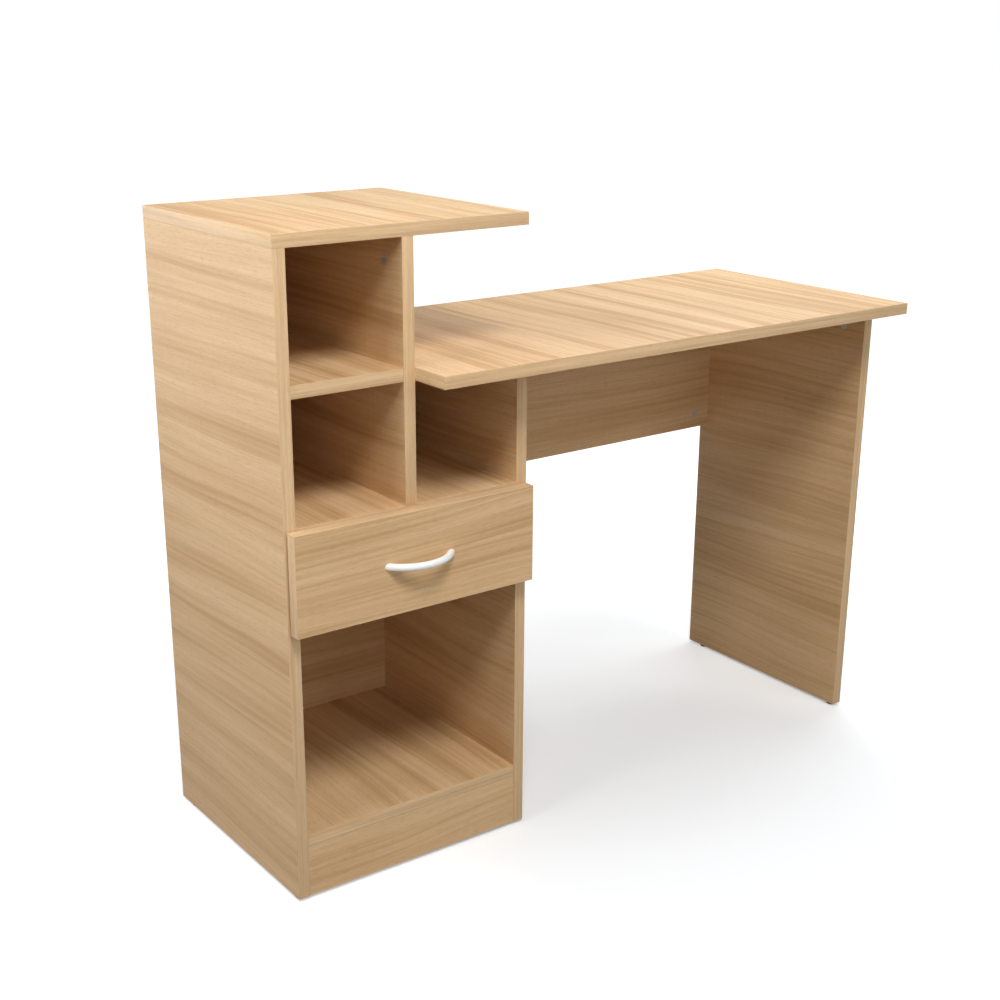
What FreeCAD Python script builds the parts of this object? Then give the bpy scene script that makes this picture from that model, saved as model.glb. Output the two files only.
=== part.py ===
import FreeCAD, Part
import os
from types import SimpleNamespace

import Sketcher

# A work table: a narrow shelf tower with one drawer, and a desktop that runs from the tower
# to a leg panel. Lengths are millimetres. While the pieces are laid out, x runs to the right
# from the tower's outer left face, y to the back from the tower's front edges, and z up from
# the floor. Each piece is then shifted so that the origin lies under the middle of the table.

doc = FreeCAD.newDocument("work_table")
sheet = doc.addObject("Spreadsheet::Sheet", "Sheet")

# Driving sizes: name, value, meaning
DRIVING_SIZES = (
    ("total_length", 1135, "tower's left face to the leg panel's outer face"),
    ("tower_width", 400, "outer width of the tower"),
    ("tower_height", 945, "floor to the top of the tower"),
    ("carcass_depth", 380, "depth of the tower and of the leg panel"),
    ("board", 18, "thickness of every laminated board"),
    ("edge_band", 1, "thickness of the edge banding"),
    ("desk_height", 752, "floor to the desktop's upper face"),
    ("desk_overhang", 70, "desktop's reach in front of the tower"),
    ("desk_back_inset", 5, "desktop's back edge in front of the tower's back"),
    ("drawer_shelf_top", 560, "floor to the upper face of the shelf above the drawer"),
    ("bottom_shelf_top", 103, "floor to the upper face of the bottom shelf"),
    ("shelf_setback", 1, "shelves and plinth behind the front edges of the sides"),
    ("modesty_height", 277, "height of the modesty panel below the desktop"),
    ("back_sheet", 3, "thickness of the back sheets and of the drawer's bottom"),
    ("back_rim", 10, "back sheet in front of the tower's back edges"),
    ("groove_depth", 8, "depth of the grooves that hold the thin sheets"),
    ("sheet_clearance", 0.1, "play of a thin sheet on each face in its groove"),
    ("sheet_end_clearance", 0.5, "play of a thin sheet at the groove's bottom"),
    ("fit_clearance", 0.1, "radial play of a fastener in its hole"),
    ("glide_height", 5, "height of the foot glides"),
    ("glide_radius", 7, "radius of the foot glides"),
    ("glide_round", 1, "rounding at a glide's lower edge"),
    ("glide_front_inset", 14, "front glides behind the front edges"),
    ("glide_back_inset", 33, "rear glides in front of the back edges"),
    ("glide_nail_radius", 1.2, "radius of a glide's nail"),
    ("glide_nail_length", 15, "length of a glide's nail above its head"),
    ("cam_radius", 7.5, "radius of the cam locks"),
    ("cam_distance", 34, "cam centre to the joint that it pulls together"),
    ("cam_recess", 0.2, "cam's head below the board's face"),
    ("cam_depth_share", 0.7, "depth of a cam bore as a share of the board"),
    ("cam_head_share", 0.28, "thickness of a cam's head as a share of the board"),
    ("cam_slot", 7.4, "width of the slot that takes the bolt's head"),
    ("cam_cross_width", 1.6, "width of the cross recess in a cam"),
    ("cam_cross_length", 8, "length of the cross recess in a cam"),
    ("cam_cross_depth", 2.2, "depth of the cross recess in a cam"),
    ("cam_front_inset", 45, "front cams behind the front edges"),
    ("cam_back_inset", 55, "rear cams in front of the back edges"),
    ("cam_end_inset", 27, "modesty panel's cams from its lower and upper edges"),
    ("bolt_bore_radius", 4, "radius of the edge bore for a cam bolt's shank"),
    ("bolt_shank_radius", 3.4, "radius of a cam bolt's collar and head"),
    ("bolt_neck_radius", 2, "radius of a cam bolt between collar and head"),
    ("bolt_head_length", 5, "length of a cam bolt's head"),
    ("bolt_thread_radius", 2.5, "radius of a cam bolt's thread hole"),
    ("bolt_thread_share", 0.5, "thread depth as a share of the board"),
    ("dowel_radius", 4, "radius of the dowel holes"),
    ("dowel_length", 30, "length of a dowel"),
    ("dowel_face_share", 0.44, "dowel's depth in the face board as a share of the board"),
    ("dowel_bevel", 1, "bevel at a dowel's ends"),
    ("dowel_step", 64, "dowels from the cams beside them, along the joint"),
    ("plinth_dowel_step", 22, "plinth's dowels above and below its cams"),
    ("long_screw_length", 50, "length of the screws up into the divider"),
    ("long_screw_radius", 3.5, "shank radius of the long screws"),
    ("long_screw_core", 2.5, "core radius of the long screws"),
    ("long_screw_head_radius", 5, "head radius of the long screws"),
    ("long_screw_head", 3.5, "head length of the long screws"),
    ("nail_radius", 0.8, "radius of the nails through the thin sheets"),
    ("nail_length", 20, "length of the nails through the thin sheets"),
    ("nail_head_radius", 2.5, "radius of a nail's head"),
    ("nail_head", 0.6, "thickness of a nail's head"),
    ("front_gap", 3, "gap between the carcass and the drawer's front"),
    ("front_reveal", 2.5, "drawer front inside the tower's outer faces"),
    ("front_top_drop", 2, "drawer front's top below the shelf's upper face"),
    ("front_height", 145, "height of the drawer's front"),
    ("drawer_lift", 12, "drawer box above the lower edge of its front"),
    ("drawer_side_height", 100, "height of the drawer's sides"),
    ("drawer_length", 350, "length of the drawer's sides"),
    ("drawer_groove_lift", 8, "drawer's bottom sheet above the sides' lower edges"),
    ("drawer_cam_drop", 45, "drawer's cams below the top of its sides"),
    ("drawer_dowel_step", 25, "drawer's dowels above and below its cams"),
    ("drawer_travel", 260, "how far the drawer slides out"),
    ("runner_gap", 12.5, "space for the runner on each side of the drawer"),
    ("runner_steel", 1.2, "thickness of the runners' sheet steel"),
    ("runner_width", 10.3, "width of a cabinet runner's flanges"),
    ("runner_length", 350, "length of a cabinet runner"),
    ("runner_front_inset", 2, "cabinet runner behind the sides' front edges"),
    ("drawer_runner_length", 345, "length of a drawer runner"),
    ("drawer_runner_inset", 2, "drawer runner behind the back of the drawer's front"),
    ("drawer_runner_reach", 8.6, "width of the flange that rolls on the cabinet's roller"),
    ("drawer_runner_ledge", 14, "width of the flange under the drawer's side"),
    ("rolling_gap", 0.3, "gap between a roller and the flange that it rolls on"),
    ("runner_top_gap", 1.2, "drawer's rolling flange below the cabinet's upper flange"),
    ("roller_radius", 9, "radius of the rollers"),
    ("roller_width", 6.3, "width of a roller"),
    ("roller_bevel", 0.8, "bevel at a roller's rims"),
    ("roller_inset", 12, "roller's axle from the end of its runner"),
    ("roller_play", 0.1, "side play of a roller on its pin"),
    ("pin_radius", 2.5, "radius of a roller's pin"),
    ("pin_clearance", 0.08, "radial running clearance of a roller on its pin"),
    ("pin_collar", 0.8, "length of a pin's collar, and of its head"),
    ("pin_collar_radius", 3.6, "radius of a pin's collar, and of its head"),
    ("stop_length", 4, "length of the stop for the drawer's roller"),
    ("stop_height", 4, "height of the stop for the drawer's roller"),
    ("stop_gap", 0.5, "roller to its stop when the drawer is fully out"),
    ("runner_screw_radius", 1.6, "shank radius of the runners' screws"),
    ("runner_screw_length", 15, "length of the runners' screws"),
    ("runner_screw_head_radius", 3.4, "head radius of the runners' screws"),
    ("runner_screw_head", 1.5, "head thickness of the runners' screws"),
    ("runner_screw_inset", 35, "first runner screw from the runner's front end"),
    ("runner_screw_step", 128, "distance between a runner's screws"),
    ("ledge_screw_share", 0.33, "ledge screws from the side's outer face, as a share of the board"),
    ("handle_span", 96, "distance between the handle's screws"),
    ("handle_length", 103, "distance between the middles of the handle's ends"),
    ("handle_radius", 5.2, "radius of the handle's round section"),
    ("handle_reach", 24, "drawer front to the middle of the handle's bow"),
    ("handle_screw_radius", 2, "radius of the handle's screws"),
    ("handle_screw_depth", 8, "depth of a handle's screw in its end"),
    ("handle_screw_head_radius", 4, "head radius of the handle's screws"),
    ("handle_screw_head", 2.4, "head height of the handle's screws"),
    ("bumper_radius", 4, "radius of the bumpers behind the drawer's front"),
    ("bumper_clearance", 0.3, "bumpers off the carcass when the drawer is shut"),
    ("bumper_inset", 17, "bumpers from the drawer front's lower and upper edges"),
)


class Size:
    """A length or a share: its number, and the sheet expression that it comes from."""

    def __init__(self, number, text):
        self.number = number
        self.text = text

    def __add__(self, other):
        return Size(self.number + other.number, f"({self.text} + {other.text})")

    def __sub__(self, other):
        return Size(self.number - other.number, f"({self.text} - {other.text})")

    def __mul__(self, other):
        other = as_size(other)
        return Size(self.number * other.number, f"({self.text} * {other.text})")

    def __truediv__(self, other):
        other = as_size(other)
        return Size(self.number / other.number, f"({self.text} / {other.text})")

    def __neg__(self):
        return Size(-self.number, f"(-{self.text})")


def as_size(value):
    """A plain count or share as a Size."""
    if isinstance(value, Size):
        return value
    return Size(float(value), str(value))


def fill_sheet():
    """Write the driving sizes into the sheet and return them by name."""
    sizes = SimpleNamespace()
    for row, (name, value, meaning) in enumerate(DRIVING_SIZES, start=1):
        sheet.set(f"A{row}", meaning)
        sheet.set(f"B{row}", str(value))
        sheet.setAlias(f"B{row}", name)
        setattr(sizes, name, Size(float(value), f"Sheet.{name}"))
    doc.recompute()
    return sizes


d = fill_sheet()
ZERO = Size(0.0, "0")
AXES = "xyz"

# Frame: the origin lies on the floor under the middle of the table's outline
frame_origin = (d.total_length / 2, (d.carcass_depth - d.desk_overhang) / 2, ZERO)

# Levels and faces that several pieces share
top_under = d.tower_height - d.board
desk_under = d.desk_height - d.board
drawer_shelf_under = d.drawer_shelf_top - d.board
bottom_shelf_under = d.bottom_shelf_top - d.board
foot = d.glide_height
right_side_x = d.tower_width - d.board
divider_x = (d.tower_width - d.board) / 2
divider_right = divider_x + d.board
leg_x = d.total_length - d.board
sheet_front = d.carcass_depth - d.back_rim - d.back_sheet
sheet_back = d.carcass_depth - d.back_rim
band_back = d.carcass_depth - d.edge_band
shelf_front = d.shelf_setback
shelf_core_front = d.shelf_setback + d.edge_band
modesty_front = d.carcass_depth - d.board
modesty_bottom = desk_under - d.modesty_height
desk_front = -d.desk_overhang
desk_back = d.carcass_depth - d.desk_back_inset
half_board = d.board / 2

# Places along the joints, from front to back
cam_front = d.cam_front_inset
cam_back = d.carcass_depth - d.cam_back_inset
dowel_front = cam_front + d.dowel_step
dowel_back = cam_back - d.dowel_step

# The drawer, at rest in the tower
front_back = -d.front_gap
front_face = front_back - d.board
front_top = d.drawer_shelf_top - d.front_top_drop
front_bottom = front_top - d.front_height
box_bottom = front_bottom + d.drawer_lift
box_top = box_bottom + d.drawer_side_height
box_left = d.board + d.runner_gap
box_right = right_side_x - d.runner_gap
box_back = front_back + d.drawer_length
drawer_left_inner = box_left + d.board
drawer_right_inner = box_right - d.board
drawer_sheet_bottom = box_bottom + d.drawer_groove_lift
drawer_sheet_top = drawer_sheet_bottom + d.back_sheet
drawer_cam_level = box_top - d.drawer_cam_drop

# Sketches: points are pinned to the sketch's axes with dimensions from the sheet

ORIGIN_INDICES = (-1, 1)
HORIZONTAL_AXIS_INDEX = -1
VERTICAL_AXIS_INDEX = -2
START_INDEX = 1
END_INDEX = 2
CENTRE_INDEX = 3


def new_body(name):
    body = doc.addObject("PartDesign::Body", name)
    body.Label = name
    return body


def new_sketch(body, name, role, offset=ZERO):
    """A sketch on one of the body's own origin planes, moved along its normal."""
    sketch = body.newObject("Sketcher::SketchObject", name)
    plane = next(item for item in body.Origin.OriginFeatures if item.Role == role)
    sketch.AttachmentSupport = [(plane, "")]
    sketch.MapMode = "FlatFace"
    if offset is not ZERO:
        sketch.setExpression("AttachmentOffset.Base.z", offset.text)
    return sketch


def constrain(sketch, size, *reference):
    """A dimension whose value follows the sheet."""
    index = sketch.addConstraint(Sketcher.Constraint(*reference, size.number))
    sketch.setExpression(f"Constraints[{index}]", size.text)


def pin(sketch, line, position, across, up):
    """Hold a point of the sketch at a place right of and above the sketch's origin."""
    if across is ZERO:
        sketch.addConstraint(Sketcher.Constraint("PointOnObject", line, position, VERTICAL_AXIS_INDEX))
    else:
        constrain(sketch, across, "DistanceX", *ORIGIN_INDICES, line, position)
    if up is ZERO:
        sketch.addConstraint(Sketcher.Constraint("PointOnObject", line, position, HORIZONTAL_AXIS_INDEX))
    else:
        constrain(sketch, up, "DistanceY", *ORIGIN_INDICES, line, position)


def flat(across, up):
    return FreeCAD.Vector(across.number, up.number, 0)


def add_polygon(sketch, points):
    """A closed outline through points, each pinned to its place."""
    first = sketch.GeometryCount
    count = len(points)
    for index, point in enumerate(points):
        following = points[(index + 1) % count]
        sketch.addGeometry(Part.LineSegment(flat(*point), flat(*following)), False)
    for index, point in enumerate(points):
        line = first + index
        before = first + (index - 1) % count
        sketch.addConstraint(Sketcher.Constraint("Coincident", before, END_INDEX, line, START_INDEX))
        pin(sketch, line, START_INDEX, *point)


def add_rectangle(sketch, left, low, right, high):
    add_polygon(sketch, [(left, low), (right, low), (right, high), (left, high)])


def add_circle(sketch, across, up, radius):
    circle = Part.Circle(flat(across, up), FreeCAD.Vector(0, 0, 1), radius.number)
    index = sketch.addGeometry(circle, False)
    constrain(sketch, radius, "Radius", index)
    pin(sketch, index, CENTRE_INDEX, across, up)


def add_pad(body, sketch, length, reverse=False):
    pad = body.newObject("PartDesign::Pad", "pad")
    pad.Profile = sketch
    pad.Reversed = reverse
    pad.setExpression("Length", length.text)
    return pad


def place(item, corner):
    """Bind an object's position to a place in the table's layout."""
    for axis, coordinate, origin in zip("xyz", corner, frame_origin):
        item.setExpression(f"Placement.Base.{axis}", (coordinate - origin).text)


# Pieces that are drilled or grooved

PLANE_ACROSS = {"x": "YZ_Plane", "y": "XZ_Plane", "z": "XY_Plane"}
NORMAL_SIGN = {"x": "+", "y": "-", "z": "+"}
pockets = []


def cut_from(body, sketch, depth, reverse=False):
    """Cut a sketch's outline into a body, against the sketch's normal unless reversed."""
    pocket = body.newObject("PartDesign::Pocket", "pocket")
    pocket.Profile = sketch
    pocket.Reversed = reverse
    pocket.setExpression("Length", depth.text)
    pockets.append(pocket)


class Piece:
    """A body whose low corner lies at a place in the layout, with its later cuts."""

    def __init__(self, name, low, high):
        self.body = new_body(name)
        self.low = low
        self.size = [end - start for start, end in zip(low, high)]
        place(self.body, low)

    def cutting_sketch(self, toward):
        """A sketch on the face where a tool moving toward +x, -x, +y and so on enters."""
        sign, axis = toward
        start = ZERO if sign == "+" else self.size[AXES.index(axis)]
        if start is not ZERO and NORMAL_SIGN[axis] == "-":
            start = -start
        return new_sketch(self.body, "cut_outline", PLANE_ACROSS[axis], start)

    def across(self, axis, point):
        """A layout point as the two coordinates of the sketch plane across an axis."""
        return [point[i] - self.low[i] for i in range(len(AXES)) if AXES[i] != axis]

    def pocket(self, sketch, toward, depth):
        sign, axis = toward
        cut_from(self.body, sketch, depth, reverse=sign == NORMAL_SIGN[axis])

    def drill(self, toward, points, radius, depth):
        """Round holes at layout points, all of one radius and depth."""
        sketch = self.cutting_sketch(toward)
        for point in points:
            across, up = self.across(toward[1], point)
            add_circle(sketch, across, up, radius)
        self.pocket(sketch, toward, depth)

    def groove(self, toward, low, high, depth):
        """A rectangular groove between two layout points on the face that is cut."""
        sketch = self.cutting_sketch(toward)
        left, bottom = self.across(toward[1], low)
        right, top = self.across(toward[1], high)
        if left.number == 0:
            left = ZERO
        if bottom.number == 0:
            bottom = ZERO
        add_rectangle(sketch, left, bottom, right, top)
        self.pocket(sketch, toward, depth)


def board(name, low, high):
    """A rectangular board between two corners of the layout."""
    piece = Piece(name, low, high)
    outline = new_sketch(piece.body, "outline", "XY_Plane")
    add_rectangle(outline, ZERO, ZERO, piece.size[0], piece.size[1])
    add_pad(piece.body, outline, piece.size[2])
    return piece


def strip(name, low, high):
    """An edge band, or any plain strip, between two corners of the layout."""
    box = doc.addObject("Part::Box", name)
    box.Label = name
    for prop, start, end in zip(("Length", "Width", "Height"), low, high):
        box.setExpression(prop, (end - start).text)
    place(box, low)
    return box


nodes = []


def node(item):
    """Mark an object as a piece that is written out."""
    nodes.append(item)
    return item


def group(name, items):
    """Separate solids of one kind that share a node."""
    compound = doc.addObject("Part::Compound", name)
    compound.Label = name
    compound.Links = items
    return node(compound)


# The tower's boards

left_side = board(
    "tower_left_side", (ZERO, d.edge_band, foot), (d.board, d.carcass_depth, top_under)
)
right_side = board(
    "tower_right_side",
    (right_side_x, d.edge_band, foot),
    (d.tower_width, d.carcass_depth, desk_under),
)
divider = board(
    "tower_divider", (divider_x, d.edge_band, d.drawer_shelf_top), (divider_right, sheet_front, top_under)
)
tower_top = board(
    "tower_top",
    (d.edge_band, d.edge_band, top_under),
    (d.tower_width - d.edge_band, band_back, d.tower_height),
)
small_shelf = board(
    "small_shelf", (d.board, shelf_core_front, desk_under), (divider_x, sheet_front, d.desk_height)
)
drawer_shelf = board(
    "shelf_above_drawer",
    (d.board, shelf_core_front, drawer_shelf_under),
    (right_side_x, sheet_front, d.drawer_shelf_top),
)
bottom_shelf = board(
    "bottom_shelf",
    (d.board, shelf_core_front, bottom_shelf_under),
    (right_side_x, sheet_front, d.bottom_shelf_top),
)
plinth = board(
    "plinth", (d.board, shelf_front, foot), (right_side_x, shelf_front + d.board, bottom_shelf_under)
)

# The desk's boards

desktop = board(
    "desktop",
    (divider_right + d.edge_band, desk_front + d.edge_band, desk_under),
    (d.total_length - d.edge_band, desk_back - d.edge_band, d.desk_height),
)
leg_panel = board("leg_panel", (leg_x, d.edge_band, foot), (d.total_length, band_back, desk_under))
modesty_panel = board(
    "modesty_panel",
    (d.tower_width, modesty_front, modesty_bottom + d.edge_band),
    (leg_x, d.carcass_depth, desk_under),
)

# Back sheets: the lower one runs in the sides' grooves, the upper one closes the left bay

sheet_left = d.board - d.groove_depth + d.sheet_end_clearance
back_lower = board(
    "back_sheet_lower",
    (sheet_left, sheet_front, bottom_shelf_under),
    (d.tower_width - sheet_left, sheet_back, desk_under),
)
back_upper = board(
    "back_sheet_upper", (sheet_left, sheet_front, desk_under), (divider_right, sheet_back, top_under)
)
groove_front = sheet_front - d.sheet_clearance
groove_back = sheet_back + d.sheet_clearance
left_side.groove(
    "-x", (ZERO, groove_front, foot), (ZERO, groove_back, top_under), d.groove_depth
)
right_side.groove(
    "+x", (ZERO, groove_front, foot), (ZERO, groove_back, desk_under), d.groove_depth
)

# The drawer's boards

drawer_front = board(
    "drawer_front",
    (d.front_reveal + d.edge_band, front_face, front_bottom + d.edge_band),
    (d.tower_width - d.front_reveal - d.edge_band, front_back, front_top - d.edge_band),
)
drawer_left = board(
    "drawer_left_side",
    (box_left, front_back, box_bottom),
    (drawer_left_inner, box_back, box_top - d.edge_band),
)
drawer_right = board(
    "drawer_right_side",
    (drawer_right_inner, front_back, box_bottom),
    (box_right, box_back, box_top - d.edge_band),
)
drawer_back = board(
    "drawer_back",
    (drawer_left_inner, box_back - d.board, drawer_sheet_top),
    (drawer_right_inner, box_back, box_top - d.edge_band),
)
drawer_sheet_left = drawer_left_inner - d.groove_depth + d.sheet_end_clearance
drawer_sheet_right = drawer_right_inner + d.groove_depth - d.sheet_end_clearance
drawer_sheet_front = front_back - d.groove_depth + d.sheet_end_clearance
drawer_bottom = board(
    "drawer_bottom",
    (drawer_sheet_left, drawer_sheet_front, drawer_sheet_bottom),
    (drawer_sheet_right, box_back, drawer_sheet_top),
)
slot_bottom = drawer_sheet_bottom - d.sheet_clearance
slot_top = drawer_sheet_top + d.sheet_clearance
drawer_left.groove(
    "-x", (ZERO, front_back, slot_bottom), (ZERO, box_back, slot_top), d.groove_depth
)
drawer_right.groove(
    "+x", (ZERO, front_back, slot_bottom), (ZERO, box_back, slot_top), d.groove_depth
)
drawer_front.groove(
    "-y",
    (drawer_left_inner - d.groove_depth, ZERO, slot_bottom),
    (drawer_right_inner + d.groove_depth, ZERO, slot_top),
    d.groove_depth,
)

# Joints: a cam in the edge board pulls on a bolt in the face board, beside glued dowels

cam_depth = d.board * d.cam_depth_share
thread_depth = d.board * d.bolt_thread_share
dowel_face_depth = d.board * d.dowel_face_share
dowel_edge_depth = d.dowel_length - dowel_face_depth
DIRECTIONS = {
    sign + axis: FreeCAD.Vector(*[(1 if sign == "+" else -1) * (axis == other) for other in AXES])
    for axis in AXES
    for sign in "+-"
}
OPPOSITE = {"+": "-", "-": "+"}


def opposite(toward):
    return OPPOSITE[toward[0]] + toward[1]


def shifted(point, toward, distance):
    """A layout point moved along an axis."""
    sign, axis = toward
    moved = list(point)
    index = AXES.index(axis)
    moved[index] = moved[index] + distance if sign == "+" else moved[index] - distance
    return tuple(moved)


class Fittings:
    """The places of the fasteners of one rigid group of boards."""

    def __init__(self):
        self.cams = []
        self.bolts = []
        self.dowels = []

    def join(self, edge, face, toward, cam_side, cams, dowels):
        """Join an edge board to the face board that it meets, at points on their joint.

        toward runs from the edge board into the face board, and cam_side is the way the
        cams' heads look out of the edge board.
        """
        into_edge = opposite(toward)
        if cams:
            cam_points = [shifted(point, into_edge, d.cam_distance) for point in cams]
            edge.drill(opposite(cam_side), cam_points, d.cam_radius, cam_depth)
            edge.drill(into_edge, cams, d.bolt_bore_radius, d.cam_distance)
            face.drill(toward, cams, d.bolt_thread_radius, thread_depth)
            for joint, centre in zip(cams, cam_points):
                self.bolts.append((joint, toward))
                self.cams.append((shifted(centre, cam_side, half_board), cam_side, toward))
        if dowels:
            edge.drill(into_edge, dowels, d.dowel_radius, dowel_edge_depth)
            face.drill(toward, dowels, d.dowel_radius, dowel_face_depth)
            self.dowels.extend((point, toward) for point in dowels)


table_fittings = Fittings()
drawer_fittings = Fittings()


def along_depth(x, z, places):
    return [(x, y, z) for y in places]


cam_places = (cam_front, cam_back)
dowel_places = (dowel_front, dowel_back)
desk_mid = desk_under + half_board
left_mid = half_board
divider_mid = divider_x + half_board
right_mid = right_side_x + half_board
leg_mid = leg_x + half_board


def join_along_depth(edge, face, toward, cam_side, x, z, cams=cam_places, dowels=dowel_places):
    table_fittings.join(
        edge, face, toward, cam_side, along_depth(x, z, cams), along_depth(x, z, dowels)
    )


join_along_depth(left_side, tower_top, "+z", "+x", left_mid, top_under)
join_along_depth(divider, tower_top, "+z", "-x", divider_mid, top_under)
join_along_depth(small_shelf, left_side, "-x", "-z", d.board, desk_mid)
join_along_depth(small_shelf, divider, "+x", "-z", divider_x, desk_mid)
join_along_depth(right_side, desktop, "+z", "+x", right_mid, desk_under)
join_along_depth(leg_panel, desktop, "+z", "-x", leg_mid, desk_under)
for shelf, level in (
    (drawer_shelf, drawer_shelf_under + half_board),
    (bottom_shelf, bottom_shelf_under + half_board),
):
    join_along_depth(shelf, left_side, "-x", "-z", d.board, level)
    join_along_depth(shelf, right_side, "+x", "-z", right_side_x, level)

# The desktop's left edge meets the divider through its edge band, which is drilled too.
# Its cams stand beside the small shelf's, because both pairs of bolts share the divider.
desk_left_band = board(
    "desktop_left_band",
    (divider_right, desk_front + d.edge_band, desk_under),
    (divider_right + d.edge_band, desk_back - d.edge_band, d.desk_height),
)
desk_left_cams = along_depth(divider_right, desk_mid, dowel_places)
desk_left_dowels = along_depth(divider_right, desk_mid, cam_places)
table_fittings.join(desktop, divider, "-x", "-z", desk_left_cams, desk_left_dowels)
desk_left_band.drill("+x", desk_left_cams, d.bolt_bore_radius, d.edge_band)
desk_left_band.drill("+x", desk_left_dowels, d.dowel_radius, d.edge_band)

# The modesty panel, between the tower's right side and the leg panel
modesty_mid = modesty_front + half_board
modesty_low_cam = modesty_bottom + d.cam_end_inset
modesty_high_cam = desk_under - d.cam_end_inset
modesty_cams = (modesty_low_cam, modesty_high_cam)
modesty_dowels = (modesty_low_cam + d.dowel_step, modesty_high_cam - d.dowel_step)
for face_board, toward, x in ((right_side, "-x", d.tower_width), (leg_panel, "+x", leg_x)):
    table_fittings.join(
        modesty_panel,
        face_board,
        toward,
        "-y",
        [(x, modesty_mid, z) for z in modesty_cams],
        [(x, modesty_mid, z) for z in modesty_dowels],
    )

# The plinth, between the sides and under the bottom shelf
plinth_mid_y = shelf_front + half_board
plinth_mid_z = (foot + bottom_shelf_under) / 2
for face_board, toward, x in ((left_side, "-x", d.board), (right_side, "+x", right_side_x)):
    table_fittings.join(
        plinth,
        face_board,
        toward,
        "+y",
        [(x, plinth_mid_y, plinth_mid_z)],
        [
            (x, plinth_mid_y, plinth_mid_z - d.plinth_dowel_step),
            (x, plinth_mid_y, plinth_mid_z + d.plinth_dowel_step),
        ],
    )
PLINTH_DOWEL_SHARES = (0.3, 0.7)
plinth_dowels = [
    (d.tower_width * share, plinth_mid_y, bottom_shelf_under) for share in PLINTH_DOWEL_SHARES
]
table_fittings.join(plinth, bottom_shelf, "+z", "+y", [], plinth_dowels)

# The drawer's box: sides to the front, back between the sides
for side, inner_x, mid_x, cam_side, toward in (
    (drawer_left, drawer_left_inner, box_left + half_board, "+x", "-x"),
    (drawer_right, drawer_right_inner, box_right - half_board, "-x", "+x"),
):
    low_dowel = drawer_cam_level - d.drawer_dowel_step
    high_dowel = drawer_cam_level + d.drawer_dowel_step
    drawer_fittings.join(
        side,
        drawer_front,
        "-y",
        cam_side,
        [(mid_x, front_back, drawer_cam_level)],
        [(mid_x, front_back, z) for z in (low_dowel, high_dowel)],
    )
    back_mid = box_back - half_board
    drawer_fittings.join(
        drawer_back,
        side,
        toward,
        "+y",
        [(inner_x, back_mid, drawer_cam_level)],
        [(inner_x, back_mid, z) for z in (low_dowel, high_dowel)],
    )

# Long screws from below, through the shelf above the drawer into the divider
long_screws = along_depth(divider_mid, drawer_shelf_under, cam_places)
screw_head_hole = d.long_screw_head + d.fit_clearance
drawer_shelf.drill("+z", long_screws, d.long_screw_head_radius + d.fit_clearance, screw_head_hole)
drawer_shelf.drill("+z", long_screws, d.long_screw_radius + d.fit_clearance, d.board)
divider.drill(
    "+z",
    [(x, y, d.drawer_shelf_top) for x, y, z in long_screws],
    d.long_screw_core + d.fit_clearance,
    d.long_screw_length - d.board,
)

# Nails: through the back sheets into the shelves and the divider, and up into the drawer's back
THIRD_SHARES = (1 / 3, 2 / 3)
QUARTER_SHARES = (0.25, 0.5, 0.75)
nail_hole = d.nail_radius + d.fit_clearance


def between(low, high, share):
    return low + (high - low) * share


def nail_row(target, sheets, toward, points):
    """Nails at points on the sheet's outer face, through the sheets into the target."""
    for sheet_piece in sheets:
        sheet_piece.drill(toward, points, nail_hole, d.back_sheet)
    target.drill(toward, points, nail_hole, d.nail_length - d.back_sheet)
    return [(point, toward) for point in points]


back_nails = []
for shelf, level in (
    (drawer_shelf, drawer_shelf_under + half_board),
    (bottom_shelf, bottom_shelf_under + half_board),
):
    row = [(d.tower_width * share, sheet_back, level) for share in QUARTER_SHARES]
    back_nails += nail_row(shelf, [back_lower], "-y", row)
small_shelf_nails = [
    (between(d.board, divider_x, share), sheet_back, desk_mid) for share in THIRD_SHARES
]
back_nails += nail_row(small_shelf, [back_upper], "-y", small_shelf_nails)
for back_piece, low, high in (
    (back_lower, d.drawer_shelf_top, desk_under),
    (back_upper, d.desk_height, top_under),
):
    column = [(divider_mid, sheet_back, between(low, high, share)) for share in THIRD_SHARES]
    back_nails += nail_row(divider, [back_piece], "-y", column)
drawer_nails = nail_row(
    drawer_back,
    [drawer_bottom],
    "+z",
    [
        (between(drawer_left_inner, drawer_right_inner, share), box_back - half_board, drawer_sheet_bottom)
        for share in QUARTER_SHARES
    ],
)

# Handle screws, through the drawer's front into the handle's ends
handle_level = (front_bottom + front_top) / 2
handle_middle = d.tower_width / 2
handle_ends = (handle_middle - d.handle_span / 2, handle_middle + d.handle_span / 2)
handle_screws = [(x, front_back, handle_level) for x in handle_ends]
drawer_front.drill("-y", handle_screws, d.handle_screw_radius + d.fit_clearance, d.board)

# Foot glides, nailed up into the panels' lower edges
glide_places = [
    (x, y, foot)
    for x in (left_mid, right_mid, leg_mid)
    for y in (d.glide_front_inset, d.carcass_depth - d.glide_back_inset)
]
for panel, places in (
    (left_side, glide_places[:2]),
    (right_side, glide_places[2:4]),
    (leg_panel, glide_places[4:]),
):
    panel.drill("+z", places, d.glide_nail_radius + d.fit_clearance, d.glide_nail_length)

# Runners: the cabinet's is a channel that opens to the drawer, and the drawer's has a ledge
# under the drawer's side and a flange that rolls on the cabinet's roller. Both have their lower
# faces at one level.

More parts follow.
